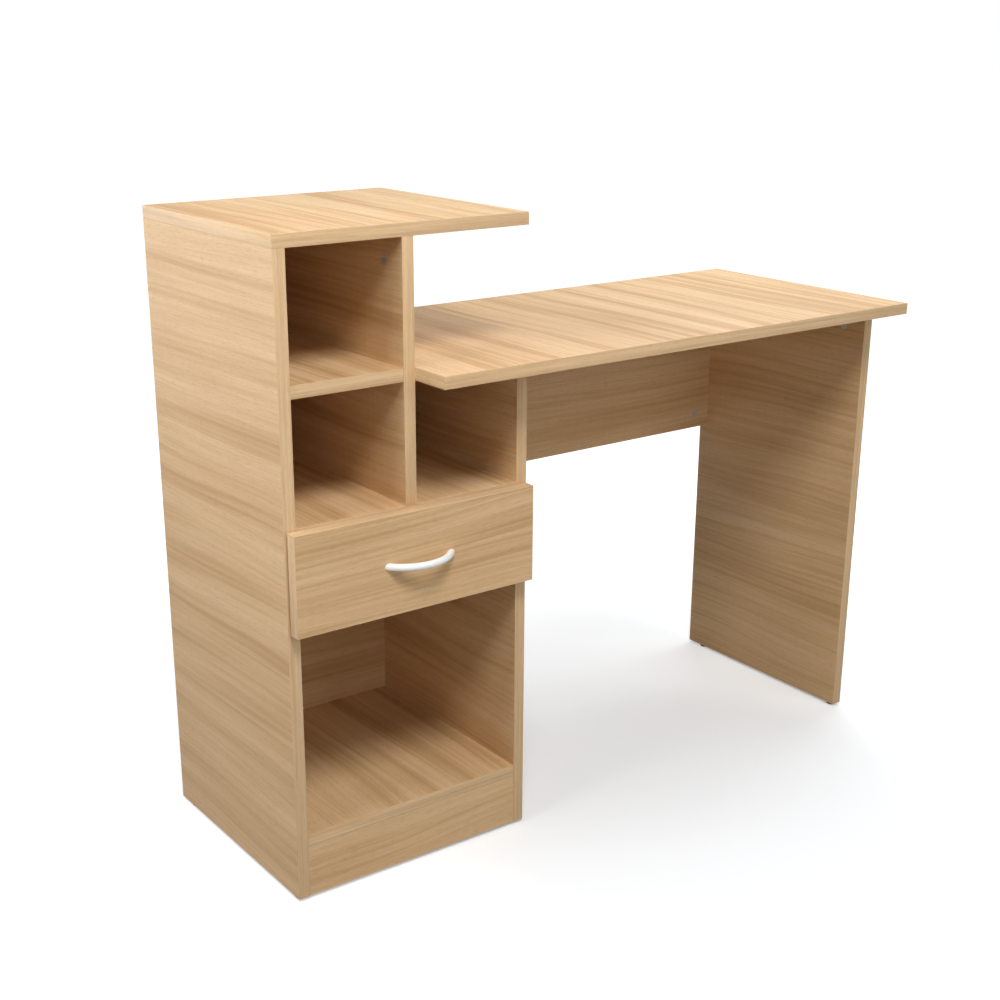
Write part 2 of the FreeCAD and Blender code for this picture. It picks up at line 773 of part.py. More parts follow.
runner_low = box_bottom - d.runner_steel
track_level = runner_low + d.runner_steel
axle_level = track_level + d.rolling_gap + d.roller_radius
flange_low = axle_level + d.roller_radius + d.rolling_gap
flange_high = flange_low + d.runner_steel
channel_high = flange_high + d.runner_top_gap + d.runner_steel
cabinet_runner_front = d.runner_front_inset
cabinet_runner_back = cabinet_runner_front + d.runner_length
drawer_runner_front = front_back + d.drawer_runner_inset
drawer_runner_back = drawer_runner_front + d.drawer_runner_length
cabinet_axle_y = cabinet_runner_front + d.roller_inset
drawer_axle_y = drawer_runner_back - d.roller_inset
stop_back = drawer_axle_y - d.drawer_travel - d.roller_radius - d.stop_gap
RUNNER_SCREW_COUNT = 3
screw_hole = d.runner_screw_radius + d.fit_clearance
pin_hole = d.pin_radius + d.fit_clearance


def runner_outline(piece, points, left_hand):
    """Draw a runner's section, mirrored on the right-hand side, and pad it to the back."""
    width = piece.size[0]
    outline = new_sketch(piece.body, "section", "XZ_Plane")
    if not left_hand:
        points = [(width - across, up) for across, up in points]
        points = [(ZERO if across.number == 0 else across, up) for across, up in points]
    add_polygon(outline, points)
    add_pad(piece.body, outline, piece.size[1], reverse=True)


def cabinet_runner(name, side, left_hand):
    """A channel on the tower's side, with its screw holes, pin hole and roller stop."""
    steel, width = d.runner_steel, d.runner_width
    height = channel_high - runner_low
    low_x = d.board if left_hand else right_side_x - width
    piece = Piece(
        name,
        (low_x, cabinet_runner_front, runner_low),
        (low_x + width, cabinet_runner_back, channel_high),
    )
    channel = [
        (ZERO, ZERO), (width, ZERO), (width, steel), (steel, steel),
        (steel, height - steel), (width, height - steel), (width, height), (ZERO, height),
    ]
    runner_outline(piece, channel, left_hand)
    stop = new_sketch(piece.body, "stop", "XY_Plane", steel)
    stop_high = stop_back - cabinet_runner_front
    stop_low = stop_high - d.stop_length
    stop_near = steel + d.pin_collar if left_hand else steel
    stop_far = width - steel if left_hand else width - steel - d.pin_collar
    add_rectangle(stop, stop_near, stop_low, stop_far, stop_high)
    add_pad(piece.body, stop, d.stop_height)
    toward = "-x" if left_hand else "+x"
    screws = [
        (low_x, cabinet_runner_front + d.runner_screw_inset + d.runner_screw_step * step, axle_level)
        for step in range(RUNNER_SCREW_COUNT)
    ]
    piece.drill(toward, screws, screw_hole, width)
    piece.drill(toward, [(low_x, cabinet_axle_y, axle_level)], pin_hole, width)
    face_x = d.board if left_hand else right_side_x
    side.drill(toward, screws, screw_hole, d.runner_screw_length - steel)
    head_x = face_x + steel if left_hand else face_x - steel
    return piece, [((head_x, y, z), toward) for x, y, z in screws]


def drawer_runner(name, side, left_hand):
    """A rail under the drawer's side, with a rolling flange that reaches to the outside."""
    steel, reach, ledge = d.runner_steel, d.drawer_runner_reach, d.drawer_runner_ledge
    height = flange_high - runner_low
    web_outer = box_left - steel if left_hand else box_right + steel
    low_x = web_outer - reach if left_hand else web_outer - ledge
    piece = Piece(
        name,
        (low_x, drawer_runner_front, runner_low),
        (low_x + reach + ledge, drawer_runner_back, flange_high),
    )
    rail = [
        (reach, ZERO), (reach + ledge, ZERO), (reach + ledge, steel), (reach + steel, steel),
        (reach + steel, height), (ZERO, height), (ZERO, height - steel), (reach, height - steel),
    ]
    runner_outline(piece, rail, left_hand)
    inset = d.board * d.ledge_screw_share
    screw_x = box_left + inset if left_hand else box_right - inset
    screws = [
        (screw_x, drawer_runner_front + d.runner_screw_inset + d.runner_screw_step * step, runner_low)
        for step in range(RUNNER_SCREW_COUNT)
    ]
    piece.drill("+z", screws, screw_hole, steel)
    toward = "+x" if left_hand else "-x"
    piece.drill(toward, [(low_x, drawer_axle_y, axle_level)], pin_hole, piece.size[0])
    side.drill(
        "+z",
        [(x, y, box_bottom) for x, y, z in screws],
        screw_hole,
        d.runner_screw_length - steel,
    )
    return piece, [(point, "+z") for point in screws]


left_cabinet_runner, cabinet_screws_left = cabinet_runner("left_cabinet_runner", left_side, True)
right_cabinet_runner, cabinet_screws_right = cabinet_runner("right_cabinet_runner", right_side, False)
left_drawer_runner, drawer_screws_left = drawer_runner("left_drawer_runner", drawer_left, True)
right_drawer_runner, drawer_screws_right = drawer_runner("right_drawer_runner", drawer_right, False)

# Turned parts: half sections as radius and height, turned round the height axis

FULL_TURN_DEGREES = 360


def turned(name, points):
    body = new_body(name)
    section = new_sketch(body, "half_section", "XZ_Plane")
    add_polygon(section, points)
    revolution = body.newObject("PartDesign::Revolution", "turn")
    revolution.Profile = section
    revolution.ReferenceAxis = (section, ["V_Axis"])
    revolution.Angle = FULL_TURN_DEGREES
    return body


def stepped(name, steps):
    """A turned part from a list of radius and the height where that radius ends."""
    points = [(ZERO, steps[0][1])]
    for (_, low), (radius, high) in zip(steps, steps[1:]):
        points += [(radius, low), (radius, high)]
    points.append((ZERO, steps[-1][1]))
    return turned(name, points)


thread_radius = d.bolt_thread_radius - d.fit_clearance
dowel_fit = d.dowel_radius - d.fit_clearance

# Cam bolt: its thread points up from the joint at height zero, its head sits in the cam below
bolt_form = stepped(
    "cam_bolt_form",
    [
        (ZERO, -(d.cam_distance + d.bolt_head_length / 2)),
        (d.bolt_shank_radius, -(d.cam_distance - d.bolt_head_length / 2)),
        (d.bolt_neck_radius, -(d.cam_distance - d.cam_radius - d.bolt_head_length / 2)),
        (d.bolt_shank_radius, ZERO),
        (thread_radius, thread_depth),
    ],
)

dowel_form = turned(
    "dowel_form",
    [
        (ZERO, -dowel_edge_depth),
        (dowel_fit - d.dowel_bevel, -dowel_edge_depth),
        (dowel_fit, d.dowel_bevel - dowel_edge_depth),
        (dowel_fit, dowel_face_depth - d.dowel_bevel),
        (dowel_fit - d.dowel_bevel, dowel_face_depth),
        (ZERO, dowel_face_depth),
    ],
)

long_screw_form = stepped(
    "long_screw_form",
    [
        (ZERO, ZERO),
        (d.long_screw_head_radius, d.long_screw_head),
        (d.long_screw_radius, d.board),
        (d.long_screw_core, d.long_screw_length),
    ],
)

nail_form = stepped(
    "nail_form",
    [(ZERO, -d.nail_head), (d.nail_head_radius, ZERO), (d.nail_radius, d.nail_length)],
)

runner_screw_form = stepped(
    "runner_screw_form",
    [
        (ZERO, -d.runner_screw_head),
        (d.runner_screw_head_radius, ZERO),
        (d.runner_screw_radius, d.runner_screw_length),
    ],
)

handle_screw_form = stepped(
    "handle_screw_form",
    [
        (ZERO, -d.handle_screw_head),
        (d.handle_screw_head_radius, ZERO),
        (d.handle_screw_radius, d.board + d.handle_screw_depth),
    ],
)

glide_form = turned(
    "glide_form",
    [
        (ZERO, -d.glide_height),
        (d.glide_radius - d.glide_round, -d.glide_height),
        (d.glide_radius, d.glide_round - d.glide_height),
        (d.glide_radius, ZERO),
        (d.glide_nail_radius, ZERO),
        (d.glide_nail_radius, d.glide_nail_length),
        (ZERO, d.glide_nail_length),
    ],
)

bumper_form = stepped(
    "bumper_form", [(ZERO, ZERO), (d.bumper_radius, d.front_gap - d.bumper_clearance)]
)

# Cam lock: its head is flush with the board's face, which is the plane at height zero. Below the
# head a slot, open towards the joint, takes the bolt's head.
cam_form = new_body("cam_lock_form")
cam_outline = new_sketch(cam_form, "cam_outline", "XY_Plane", -d.cam_recess)
add_circle(cam_outline, ZERO, ZERO, d.cam_radius - d.fit_clearance)
cam_height = cam_depth - d.cam_recess - d.fit_clearance
add_pad(cam_form, cam_outline, cam_height, reverse=True)


def mirrored_rectangle(sketch, left, right, half_width):
    """A rectangle whose lower and upper edges lie evenly about the sketch's horizontal axis."""
    corners = [(left, -half_width), (right, -half_width), (right, half_width), (left, half_width)]
    add_polygon(sketch, corners)


slot_level = -(d.board * d.cam_head_share)
slot_outline = new_sketch(cam_form, "slot_outline", "XY_Plane", slot_level)
mirrored_rectangle(slot_outline, -d.cam_slot / 2, d.cam_radius, d.cam_slot / 2)
cut_from(cam_form, slot_outline, cam_depth)
cross_level = -d.cam_recess
cross_half = d.cam_cross_length / 2
for turn in (False, True):
    cross_outline = new_sketch(cam_form, "cross_outline", "XY_Plane", cross_level)
    thin = d.cam_cross_width / 2
    if turn:
        add_polygon(
            cross_outline,
            [(-thin, -cross_half), (thin, -cross_half), (thin, cross_half), (-thin, cross_half)],
        )
    else:
        mirrored_rectangle(cross_outline, -cross_half, cross_half, thin)
    cut_from(cam_form, cross_outline, d.cam_cross_depth)

# Rollers and their pins, turned round the height axis and laid along x

pin_web = d.runner_steel
pin_seat = pin_web + d.pin_collar
pin_end = pin_seat + d.roller_play * 2 + d.roller_width
PIN_STEPS = [
    (ZERO, ZERO),
    (d.pin_radius, pin_web),
    (d.pin_collar_radius, pin_seat),
    (d.pin_radius, pin_end),
    (d.pin_collar_radius, pin_end + d.pin_collar),
]
bore = d.pin_radius + d.pin_clearance
rim = d.roller_radius
bevel = d.roller_bevel
ROLLER_SECTION = [
    (bore, ZERO),
    (rim - bevel, ZERO),
    (rim, bevel),
    (rim, d.roller_width - bevel),
    (rim - bevel, d.roller_width),
    (bore, d.roller_width),
]
QUARTER_TURN_DEGREES = 90
Y_AXIS = FreeCAD.Vector(0, 1, 0)


def along_x(item, point, to_right):
    """Lay a turned part's height axis along x, pointing right or left, from a layout point."""
    angle = QUARTER_TURN_DEGREES if to_right else -QUARTER_TURN_DEGREES
    item.Placement = FreeCAD.Placement(FreeCAD.Vector(), FreeCAD.Rotation(Y_AXIS, angle))
    place(item, point)


def roller_on_pin(prefix, face_x, axle_y, to_right):
    """A pin that is riveted into a runner's web at face_x, and the roller that turns on it."""
    pin = stepped(prefix + "_roller_pin", PIN_STEPS)
    along_x(pin, (face_x, axle_y, axle_level), to_right)
    roller = turned(prefix + "_roller", ROLLER_SECTION)
    seat = pin_seat + d.roller_play
    start = face_x + seat if to_right else face_x - seat
    along_x(roller, (start, axle_y, axle_level), to_right)
    return pin, node(roller)


left_cabinet_pin, left_cabinet_roller = roller_on_pin("left_cabinet", d.board, cabinet_axle_y, True)
right_cabinet_pin, right_cabinet_roller = roller_on_pin(
    "right_cabinet", right_side_x, cabinet_axle_y, False
)
left_drawer_pin, left_drawer_roller = roller_on_pin("left_drawer", box_left, drawer_axle_y, False)
right_drawer_pin, right_drawer_roller = roller_on_pin("right_drawer", box_right, drawer_axle_y, True)

# Bow handle: a round rod bent to one even arc, with its ends cut flat on the drawer's front

half_length = d.handle_length / 2
bow_radius = (half_length * half_length + d.handle_reach * d.handle_reach) / (d.handle_reach * 2)
bow_depth = bow_radius - d.handle_reach
ring_edge = bow_radius + d.handle_radius * 2
handle = new_body("drawer_handle")
place(handle, (handle_middle, front_face + bow_depth, handle_level))
rod_section = new_sketch(handle, "rod_section", "YZ_Plane")
add_circle(rod_section, -bow_radius, ZERO, d.handle_radius)
ring = handle.newObject("PartDesign::Revolution", "ring")
ring.Profile = rod_section
ring.ReferenceAxis = (rod_section, ["V_Axis"])
ring.Angle = FULL_TURN_DEGREES

# The part of the ring that would lie behind the drawer's front is cut off
behind_front = new_sketch(handle, "behind_front", "XZ_Plane", bow_depth)
add_rectangle(behind_front, -ring_edge, -d.handle_radius * 2, ring_edge, d.handle_radius * 2)
cut_from(handle, behind_front, bow_depth + ring_edge)
end_holes = new_sketch(handle, "end_holes", "XZ_Plane", bow_depth)
for across in (-d.handle_span / 2, d.handle_span / 2):
    add_circle(end_holes, across, ZERO, d.handle_screw_radius + d.fit_clearance)
cut_from(handle, end_holes, d.handle_screw_depth + d.fit_clearance, reverse=True)

doc.recompute()

# Groups: copies of a form at the places where the fasteners lie


def layout_vector(point):
    numbers = [coordinate.number - origin.number for coordinate, origin in zip(point, frame_origin)]
    return FreeCAD.Vector(*numbers)


def upright_to(point, toward):
    """The placement that points a form's height axis along a direction of the layout."""
    turn = FreeCAD.Rotation(FreeCAD.Vector(0, 0, 1), DIRECTIONS[toward])
    return FreeCAD.Placement(layout_vector(point), turn)


def cam_placement(point, cam_side, toward):
    """The placement that turns a cam's head to cam_side and its slot to the joint."""
    outward, along = DIRECTIONS[cam_side], DIRECTIONS[toward]
    turn = FreeCAD.Rotation(along, outward.cross(along), outward, "ZXY")
    return FreeCAD.Placement(layout_vector(point), turn)


def copies(name, form, placements):
    feature = doc.addObject("Part::Feature", name)
    feature.Label = name
    solids = []
    for placement in placements:
        solid = form.Shape.copy()
        solid.Placement = placement.multiply(solid.Placement)
        solids.append(solid)
    feature.Shape = Part.makeCompound(solids)
    return node(feature)


def fastener_group(name, form, fasteners):
    return copies(name, form, [upright_to(*fastener) for fastener in fasteners])


for prefix, fittings in (("", table_fittings), ("drawer_", drawer_fittings)):
    copies(prefix + "cam_locks", cam_form, [cam_placement(*cam) for cam in fittings.cams])
    fastener_group(prefix + "cam_bolts", bolt_form, fittings.bolts)
    fastener_group(prefix + "dowels", dowel_form, fittings.dowels)
fastener_group("divider_screws", long_screw_form, [(point, "+z") for point in long_screws])
fastener_group("back_sheet_nails", nail_form, back_nails)
fastener_group("drawer_bottom_nails", nail_form, drawer_nails)
fastener_group("foot_glides", glide_form, [(point, "+z") for point in glide_places])
fastener_group("cabinet_runner_screws", runner_screw_form, cabinet_screws_left + cabinet_screws_right)
fastener_group("drawer_runner_screws", runner_screw_form, drawer_screws_left + drawer_screws_right)
fastener_group("handle_screws", handle_screw_form, [(point, "-y") for point in handle_screws])
bumper_places = [
    ((x, front_back, z), "+y")
    for x in (left_mid, right_mid)
    for z in (front_bottom + d.bumper_inset, front_top - d.bumper_inset)
]
fastener_group("drawer_bumpers", bumper_form, bumper_places)
group("cabinet_roller_pins", [left_cabinet_pin, right_cabinet_pin])
group("drawer_roller_pins", [left_drawer_pin, right_drawer_pin])

# Edge bands: strips on the edges that show, named after their board


def frame_strips(name, low, high, across):
    """Four strips round a board that lies across an axis, two long and two between them."""
    first, second = [i for i in range(len(AXES)) if AXES[i] != across]
    strips = []
    for axis, other, trim in ((second, first, False), (first, second, True)):
        for at_start in (True, False):
            start, end = list(low), list(high)
            if at_start:
                end[axis] = low[axis] + d.edge_band
            else:
                start[axis] = high[axis] - d.edge_band
            if trim:
                start[other] = start[other] + d.edge_band
                end[other] = end[other] - d.edge_band
            strips.append(strip(name, start, end))
    return strips


node(strip("left_side_edge_band", (ZERO, ZERO, foot), (d.board, d.edge_band, top_under)))
node(
    strip(
        "right_side_edge_band", (right_side_x, ZERO, foot), (d.tower_width, d.edge_band, desk_under)
    )
)
node(
    strip(
        "divider_edge_band",
        (divider_x, ZERO, d.drawer_shelf_top),
        (divider_right, d.edge_band, top_under),
    )
)
for name, left, right, low in (
    ("small_shelf_edge_band", d.board, divider_x, desk_under),
    ("shelf_above_drawer_edge_band", d.board, right_side_x, drawer_shelf_under),
    ("bottom_shelf_edge_band", d.board, right_side_x, bottom_shelf_under),
):
    node(strip(name, (left, shelf_front, low), (right, shelf_core_front, low + d.board)))
group(
    "tower_top_edge_bands",
    frame_strips(
        "tower_top_band", (ZERO, ZERO, top_under), (d.tower_width, d.carcass_depth, d.tower_height), "z"
    ),
)
desk_strips = frame_strips(
    "desktop_band", (divider_right, desk_front, desk_under), (d.total_length, desk_back, d.desk_height), "z"
)
front_strip, back_strip, plain_left_strip, right_strip = desk_strips
doc.removeObject(plain_left_strip.Name)
group("desktop_edge_bands", [front_strip, back_strip, right_strip, desk_left_band.body])
group(
    "leg_panel_edge_bands",
    [
        strip("leg_band", (leg_x, ZERO, foot), (d.total_length, d.edge_band, desk_under)),
        strip("leg_band", (leg_x, band_back, foot), (d.total_length, d.carcass_depth, desk_under)),
    ],
)
node(
    strip(
        "modesty_panel_edge_band",
        (d.tower_width, modesty_front, modesty_bottom),
        (leg_x, d.carcass_depth, modesty_bottom + d.edge_band),
    )
)
group(
    "drawer_front_edge_bands",
    frame_strips(
        "drawer_front_band",
        (d.front_reveal, front_face, front_bottom),
        (d.tower_width - d.front_reveal, front_back, front_top),
        "y",
    ),
)
band_low = box_top - d.edge_band
group(
    "drawer_box_edge_bands",
    [
        strip("box_band", (box_left, front_back, band_low), (drawer_left_inner, box_back, box_top)),
        strip("box_band", (drawer_right_inner, front_back, band_low), (box_right, box_back, box_top)),
        strip(
            "box_band",
            (drawer_left_inner, box_back - d.board, band_low),
            (drawer_right_inner, box_back, box_top),
        ),
    ],
)

for piece in (
    left_side, right_side, divider, tower_top, small_shelf, drawer_shelf, bottom_shelf, plinth,
    back_upper, back_lower, desktop, leg_panel, modesty_panel,
    drawer_front, drawer_left, drawer_right, drawer_back, drawer_bottom,
    left_cabinet_runner, right_cabinet_runner, left_drawer_runner, right_drawer_runner,
):
    node(piece.body)
node(handle)

doc.recompute()

# Checks: nothing failed, every cut removed material, every piece is whole

for item in doc.Objects:
    if "Invalid" in item.State or "Error" in item.State:
        raise RuntimeError(f"{item.Label} did not build: {item.State}")
for pocket in pockets:
    if not pocket.BaseFeature.Shape.Volume > pocket.Shape.Volume:
        raise RuntimeError(f"{pocket.Label} of {pocket.getParentGeoFeatureGroup().Label} cuts nothing")
os.makedirs("parts", exist_ok=True)
for item in nodes:
    if item.Shape.isNull() or not item.Shape.isValid():
        raise RuntimeError(f"{item.Label} has no valid shape")
for item in nodes:
    item.Shape.exportStep(os.path.join("parts", item.Label + ".step"))
    print(item.Label, len(item.Shape.Solids), round(item.Shape.Volume / 1000, 1))
print(len(nodes), "nodes")
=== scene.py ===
# %% [markdown]
# # A work table in light oak laminate
#
# The table is flat-pack furniture: a shelf tower with one drawer, and a desktop that runs from
# the tower to a leg panel. Its boards, fittings and runners come ready made from the packed
# model, in metres, with the origin on the floor under the middle of the table. This lesson
# gives every board its wood figure, remakes the edge bands with the small radius that the
# trimmer leaves, remakes the bow handle as a smooth rod, and lights it all like a studio shot.

import math

import bpy
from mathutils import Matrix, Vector


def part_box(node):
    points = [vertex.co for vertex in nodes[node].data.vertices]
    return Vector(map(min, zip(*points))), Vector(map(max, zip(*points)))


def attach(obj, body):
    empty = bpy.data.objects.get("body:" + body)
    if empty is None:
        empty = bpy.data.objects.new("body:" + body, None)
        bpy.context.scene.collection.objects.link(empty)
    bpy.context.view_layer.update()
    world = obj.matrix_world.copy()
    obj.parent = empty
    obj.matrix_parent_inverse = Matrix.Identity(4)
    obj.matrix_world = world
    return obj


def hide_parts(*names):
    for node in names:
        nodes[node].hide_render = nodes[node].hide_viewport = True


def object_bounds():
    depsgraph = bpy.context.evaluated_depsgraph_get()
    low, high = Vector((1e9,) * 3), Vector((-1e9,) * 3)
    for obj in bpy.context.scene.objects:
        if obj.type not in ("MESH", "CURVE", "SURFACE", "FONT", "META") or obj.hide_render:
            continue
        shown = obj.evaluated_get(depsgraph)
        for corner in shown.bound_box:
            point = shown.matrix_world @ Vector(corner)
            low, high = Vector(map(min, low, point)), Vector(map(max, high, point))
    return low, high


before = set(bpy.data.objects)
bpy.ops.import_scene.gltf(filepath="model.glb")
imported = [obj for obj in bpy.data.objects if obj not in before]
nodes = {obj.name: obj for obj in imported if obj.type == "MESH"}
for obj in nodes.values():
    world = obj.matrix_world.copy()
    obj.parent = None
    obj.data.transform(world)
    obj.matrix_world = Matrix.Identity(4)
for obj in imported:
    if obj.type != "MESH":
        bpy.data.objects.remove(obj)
cad_low, cad_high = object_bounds()
table_size = [round(high - low, 4) for low, high in zip(cad_low, cad_high)]
print(len(nodes), "nodes,", table_size, "metres")

# %% [markdown]
# ## The camera
#
# The photograph was taken from the left, in front of the table and about 1.2 metres above the
# floor. The camera's place was found by matching the table's corners, and it is kept as plain
# numbers. A fairly long lens keeps the uprights nearly parallel. The small shift moves the
# picture's middle without turning the camera, so the verticals stay as they are.

# %% Place the camera
CAMERA_PLACE = (-1.4660, -1.8299, 1.1983)
CAMERA_TURN_DEGREES = (71.027, 0.0, -35.745)
SENSOR_WIDTH_MM = 36
LENS_MM = 54.73
SHIFT_RIGHT = 0.0257
SHIFT_UP = 0.0387

camera_data = bpy.data.cameras.new("photo_camera")
camera_data.sensor_width = SENSOR_WIDTH_MM
camera_data.lens = LENS_MM
camera_data.shift_x = SHIFT_RIGHT
camera_data.shift_y = SHIFT_UP
camera = bpy.data.objects.new("photo_camera", camera_data)
camera.location = CAMERA_PLACE
camera.rotation_euler = [math.radians(angle) for angle in CAMERA_TURN_DEGREES]
bpy.context.scene.collection.objects.link(camera)
bpy.context.scene.camera = camera
bpy.context.scene.view_settings.view_transform = "Standard"
print("camera", CAMERA_PLACE, "lens", LENS_MM, "mm")

# %% [markdown]
# ## Wiring helpers
#
# A procedural material is a small machine of nodes. Short helpers keep the wiring readable. The
# first adds a node and fills its inputs, either with a value or with a link from another node's
# output, and the others use it for arithmetic, for mixing, for stretching a range and for noise.

# %% Node helpers
def add(tree, kind, inputs=None, **settings):
    """A new node, with its settings made and its inputs filled or linked."""
    node = tree.nodes.new(kind)
    for name, value in settings.items():
        setattr(node, name, value)
    for name, value in (inputs or {}).items():
        if isinstance(value, bpy.types.NodeSocket):
            tree.links.new(value, node.inputs[name])
        else:
            node.inputs[name].default_value = value
    return node


def math_node(tree, operation, *values, clamp=False):
    """Arithmetic on one, two or three values."""
    inputs = dict(enumerate(values))
    return add(tree, "ShaderNodeMath", inputs, operation=operation, use_clamp=clamp).outputs[0]


def part_and_rest(tree, first, share, second):
    """A share of the first number, with the rest made up from the second."""
    rest = math_node(tree, "MULTIPLY", second, 1.0 - share)
    return math_node(tree, "MULTIPLY_ADD", first, share, rest)


def mixed_colour(tree, share, first, second):
    """The first colour, moved towards the second; a mix node takes colours at 6 and 7."""
    node = add(tree, "ShaderNodeMix", {0: share, 6: first, 7: second}, data_type="RGBA")
    return node.outputs[2]


def mixed_number(tree, share, first, second):
    """The first number, moved towards the second; a mix node takes numbers at 2 and 3."""
    node = add(tree, "ShaderNodeMix", {0: share, 2: first, 3: second}, data_type="FLOAT")
    return node.outputs[0]


def spread(tree, value, low, high, to_low=0.0, to_high=1.0):
    """A value between two limits, stretched over a new range."""
    before = {"From Min": low, "From Max": high}
    after = {"To Min": to_low, "To Max": to_high}
    return add(tree, "ShaderNodeMapRange", {"Value": value, **before, **after}).outputs["Result"]


def noise(tree, vector, features, detail=2.0, roughness=0.5):
    """Noise with so many features per metre: one number, or three for X, Y and Z."""
    stretch = (features,) * 3 if isinstance(features, float) else features
    scaled = add(tree, "ShaderNodeVectorMath", {0: vector, 1: stretch}, operation="MULTIPLY")
    inputs = {"Vector": scaled.outputs[0], "Scale": 1.0, "Detail": detail, "Roughness": roughness}
    return add(tree, "ShaderNodeTexNoise", inputs).outputs["Fac"]


print("node helpers ready")

# %% [markdown]
# Patterns that several materials share are built once, as node groups. Colours are written as a
# colour picker shows them, from 0 to 255, and made linear, because Blender mixes linear light.

# %% Helpers for groups and colours
def new_group(name, inputs, outputs):
    """An empty node group with named sockets; returns its tree, its input node and output node."""
    tree = bpy.data.node_groups.new(name, "ShaderNodeTree")
    for label, kind, default in inputs:
        socket = tree.interface.new_socket(label, in_out="INPUT", socket_type=kind)
        socket.default_value = default
    for label, kind in outputs:
        tree.interface.new_socket(label, in_out="OUTPUT", socket_type=kind)
    return tree, add(tree, "NodeGroupInput"), add(tree, "NodeGroupOutput")


def place_group(tree, group, **inputs):
    """A node that stands for a group."""
    return add(tree, "ShaderNodeGroup", inputs, node_tree=group)


def colour(red, green, blue):
    """A colour picker's colour, made linear with the standard curve."""
    def linear(value):
        share = value / 255
        return share / 12.92 if share <= 0.04045 else ((share + 0.055) / 1.055) ** 2.4

    return (linear(red), linear(green), linear(blue), 1.0)


print("group and colour helpers ready")

# %% [markdown]
# ## Studio: world and floor
#
# The picture has no visible room, only white. Where the camera or a reflection looks past the
# table it sees the world at strength 1, which is white. The light that the world gives to the
# table is set apart, and it is low and even, like the light of a large pale room.

# %% World
WORLD_LIGHT = 0.10
WHITE = (1, 1, 1, 1)


def looked_at(tree):
    """One where the camera sees a surface straight or in a reflection, else nought."""
    path = add(tree, "ShaderNodeLightPath")
    seen = math_node(tree, "MAXIMUM", path.outputs["Is Camera Ray"], path.outputs["Is Glossy Ray"])
    return math_node(tree, "MAXIMUM", seen, path.outputs["Is Transmission Ray"])


def build_world():
    world = bpy.data.worlds.new("studio")
    bpy.context.scene.world = world
    world.use_nodes = True
    tree = world.node_tree
    tree.nodes.clear()
    strength = spread(tree, looked_at(tree), 0.0, 1.0, WORLD_LIGHT, 1.0)
    background = add(tree, "ShaderNodeBackground", {"Color": WHITE, "Strength": strength})
    add(tree, "ShaderNodeOutputWorld", {"Surface": background.outputs[0]})


build_world()
print("world light", WORLD_LIGHT)

# %% [markdown]
# The floor is pale and matt. The boards throw warm light on it, so where the camera sees it, it
# is painted a shade cool, and its shadow comes out neutral. The light that it sends back up to
# the table comes from a darker grey, which keeps the undersides dark. Where the camera looks at
# it, it also glows: a little under the table and more with distance, so it melts into the white
# backdrop without a horizon and still keeps the table's soft shadow.

# %% Floor
FLOOR_HALF_WIDTH = 30.0
FLOOR_SEEN = (0.87, 0.90, 0.93, 1)
FLOOR_SENDS_BACK = (0.45, 0.45, 0.45, 1)
SHADOW_MIDDLE = (0.10, -0.25, 0.0)
GLOW_NEAR, GLOW_FAR = 0.25, 1.0
FADE_START, FADE_END = 0.35, 1.6


def floor_material():
    material = bpy.data.materials.new("pale_floor")
    material.use_nodes = True
    tree = material.node_tree
    tree.nodes.clear()
    seen = looked_at(tree)
    paint = mixed_colour(tree, seen, FLOOR_SENDS_BACK, FLOOR_SEEN)
    matt = add(tree, "ShaderNodeBsdfDiffuse", {"Color": paint})
    place = add(tree, "ShaderNodeTexCoord").outputs["Object"]
    away = add(tree, "ShaderNodeVectorMath", {0: place, 1: SHADOW_MIDDLE}, operation="DISTANCE")
    glow = spread(tree, away.outputs["Value"], FADE_START, FADE_END, GLOW_NEAR, GLOW_FAR)
    strength = math_node(tree, "MULTIPLY", seen, glow)
    white = add(tree, "ShaderNodeEmission", {"Color": WHITE, "Strength": strength})
    both = add(tree, "ShaderNodeAddShader", {0: matt.outputs[0], 1: white.outputs[0]})
    add(tree, "ShaderNodeOutputMaterial", {"Surface": both.outputs[0]})
    return material


bpy.ops.object.select_all(action="DESELECT")
bpy.ops.mesh.primitive_plane_add(size=2 * FLOOR_HALF_WIDTH, location=(0, 0, 0))
floor = bpy.context.object
floor.name = "floor"
floor.data.materials.append(floor_material())
print("floor", 2 * FLOOR_HALF_WIDTH, "metres wide")

# %% [markdown]
# ## Lamps
#
# Six soft lamps light the table. The key softbox stands high in front, a little to the left, and
# draws the slanting shadows inside the cubbies. One close to the tower's left side makes that
# side fade from top to bottom. One over the desktop brightens it from behind, which lays the
# floor's shadow to the front. Two wide ones in front fill the cubbies and light the narrow front
# edges. The last is weak and stands low behind the left side, with a grid that keeps its beam
# narrow: at that slant the laminate shows a pale sheen near the top of the side.

# %% Lamps
NO_GRID = 180.0
SHEEN_GRID = 45.0


def softbox(name, place, target, width, depth, watts, fan=NO_GRID):
    """A rectangular soft lamp at a place, aimed at a target; fan is the beam's width in degrees."""
    data = bpy.data.lights.new(name, "AREA")
    data.shape = "RECTANGLE"
    data.size = width
    data.size_y = depth
    data.energy = watts
    data.spread = math.radians(fan)
    lamp = bpy.data.objects.new(name, data)
    lamp.location = place
    aim = Vector(target) - Vector(place)
    lamp.rotation_euler = aim.to_track_quat("-Z", "Y").to_euler()
    bpy.context.scene.collection.objects.link(lamp)
    return lamp


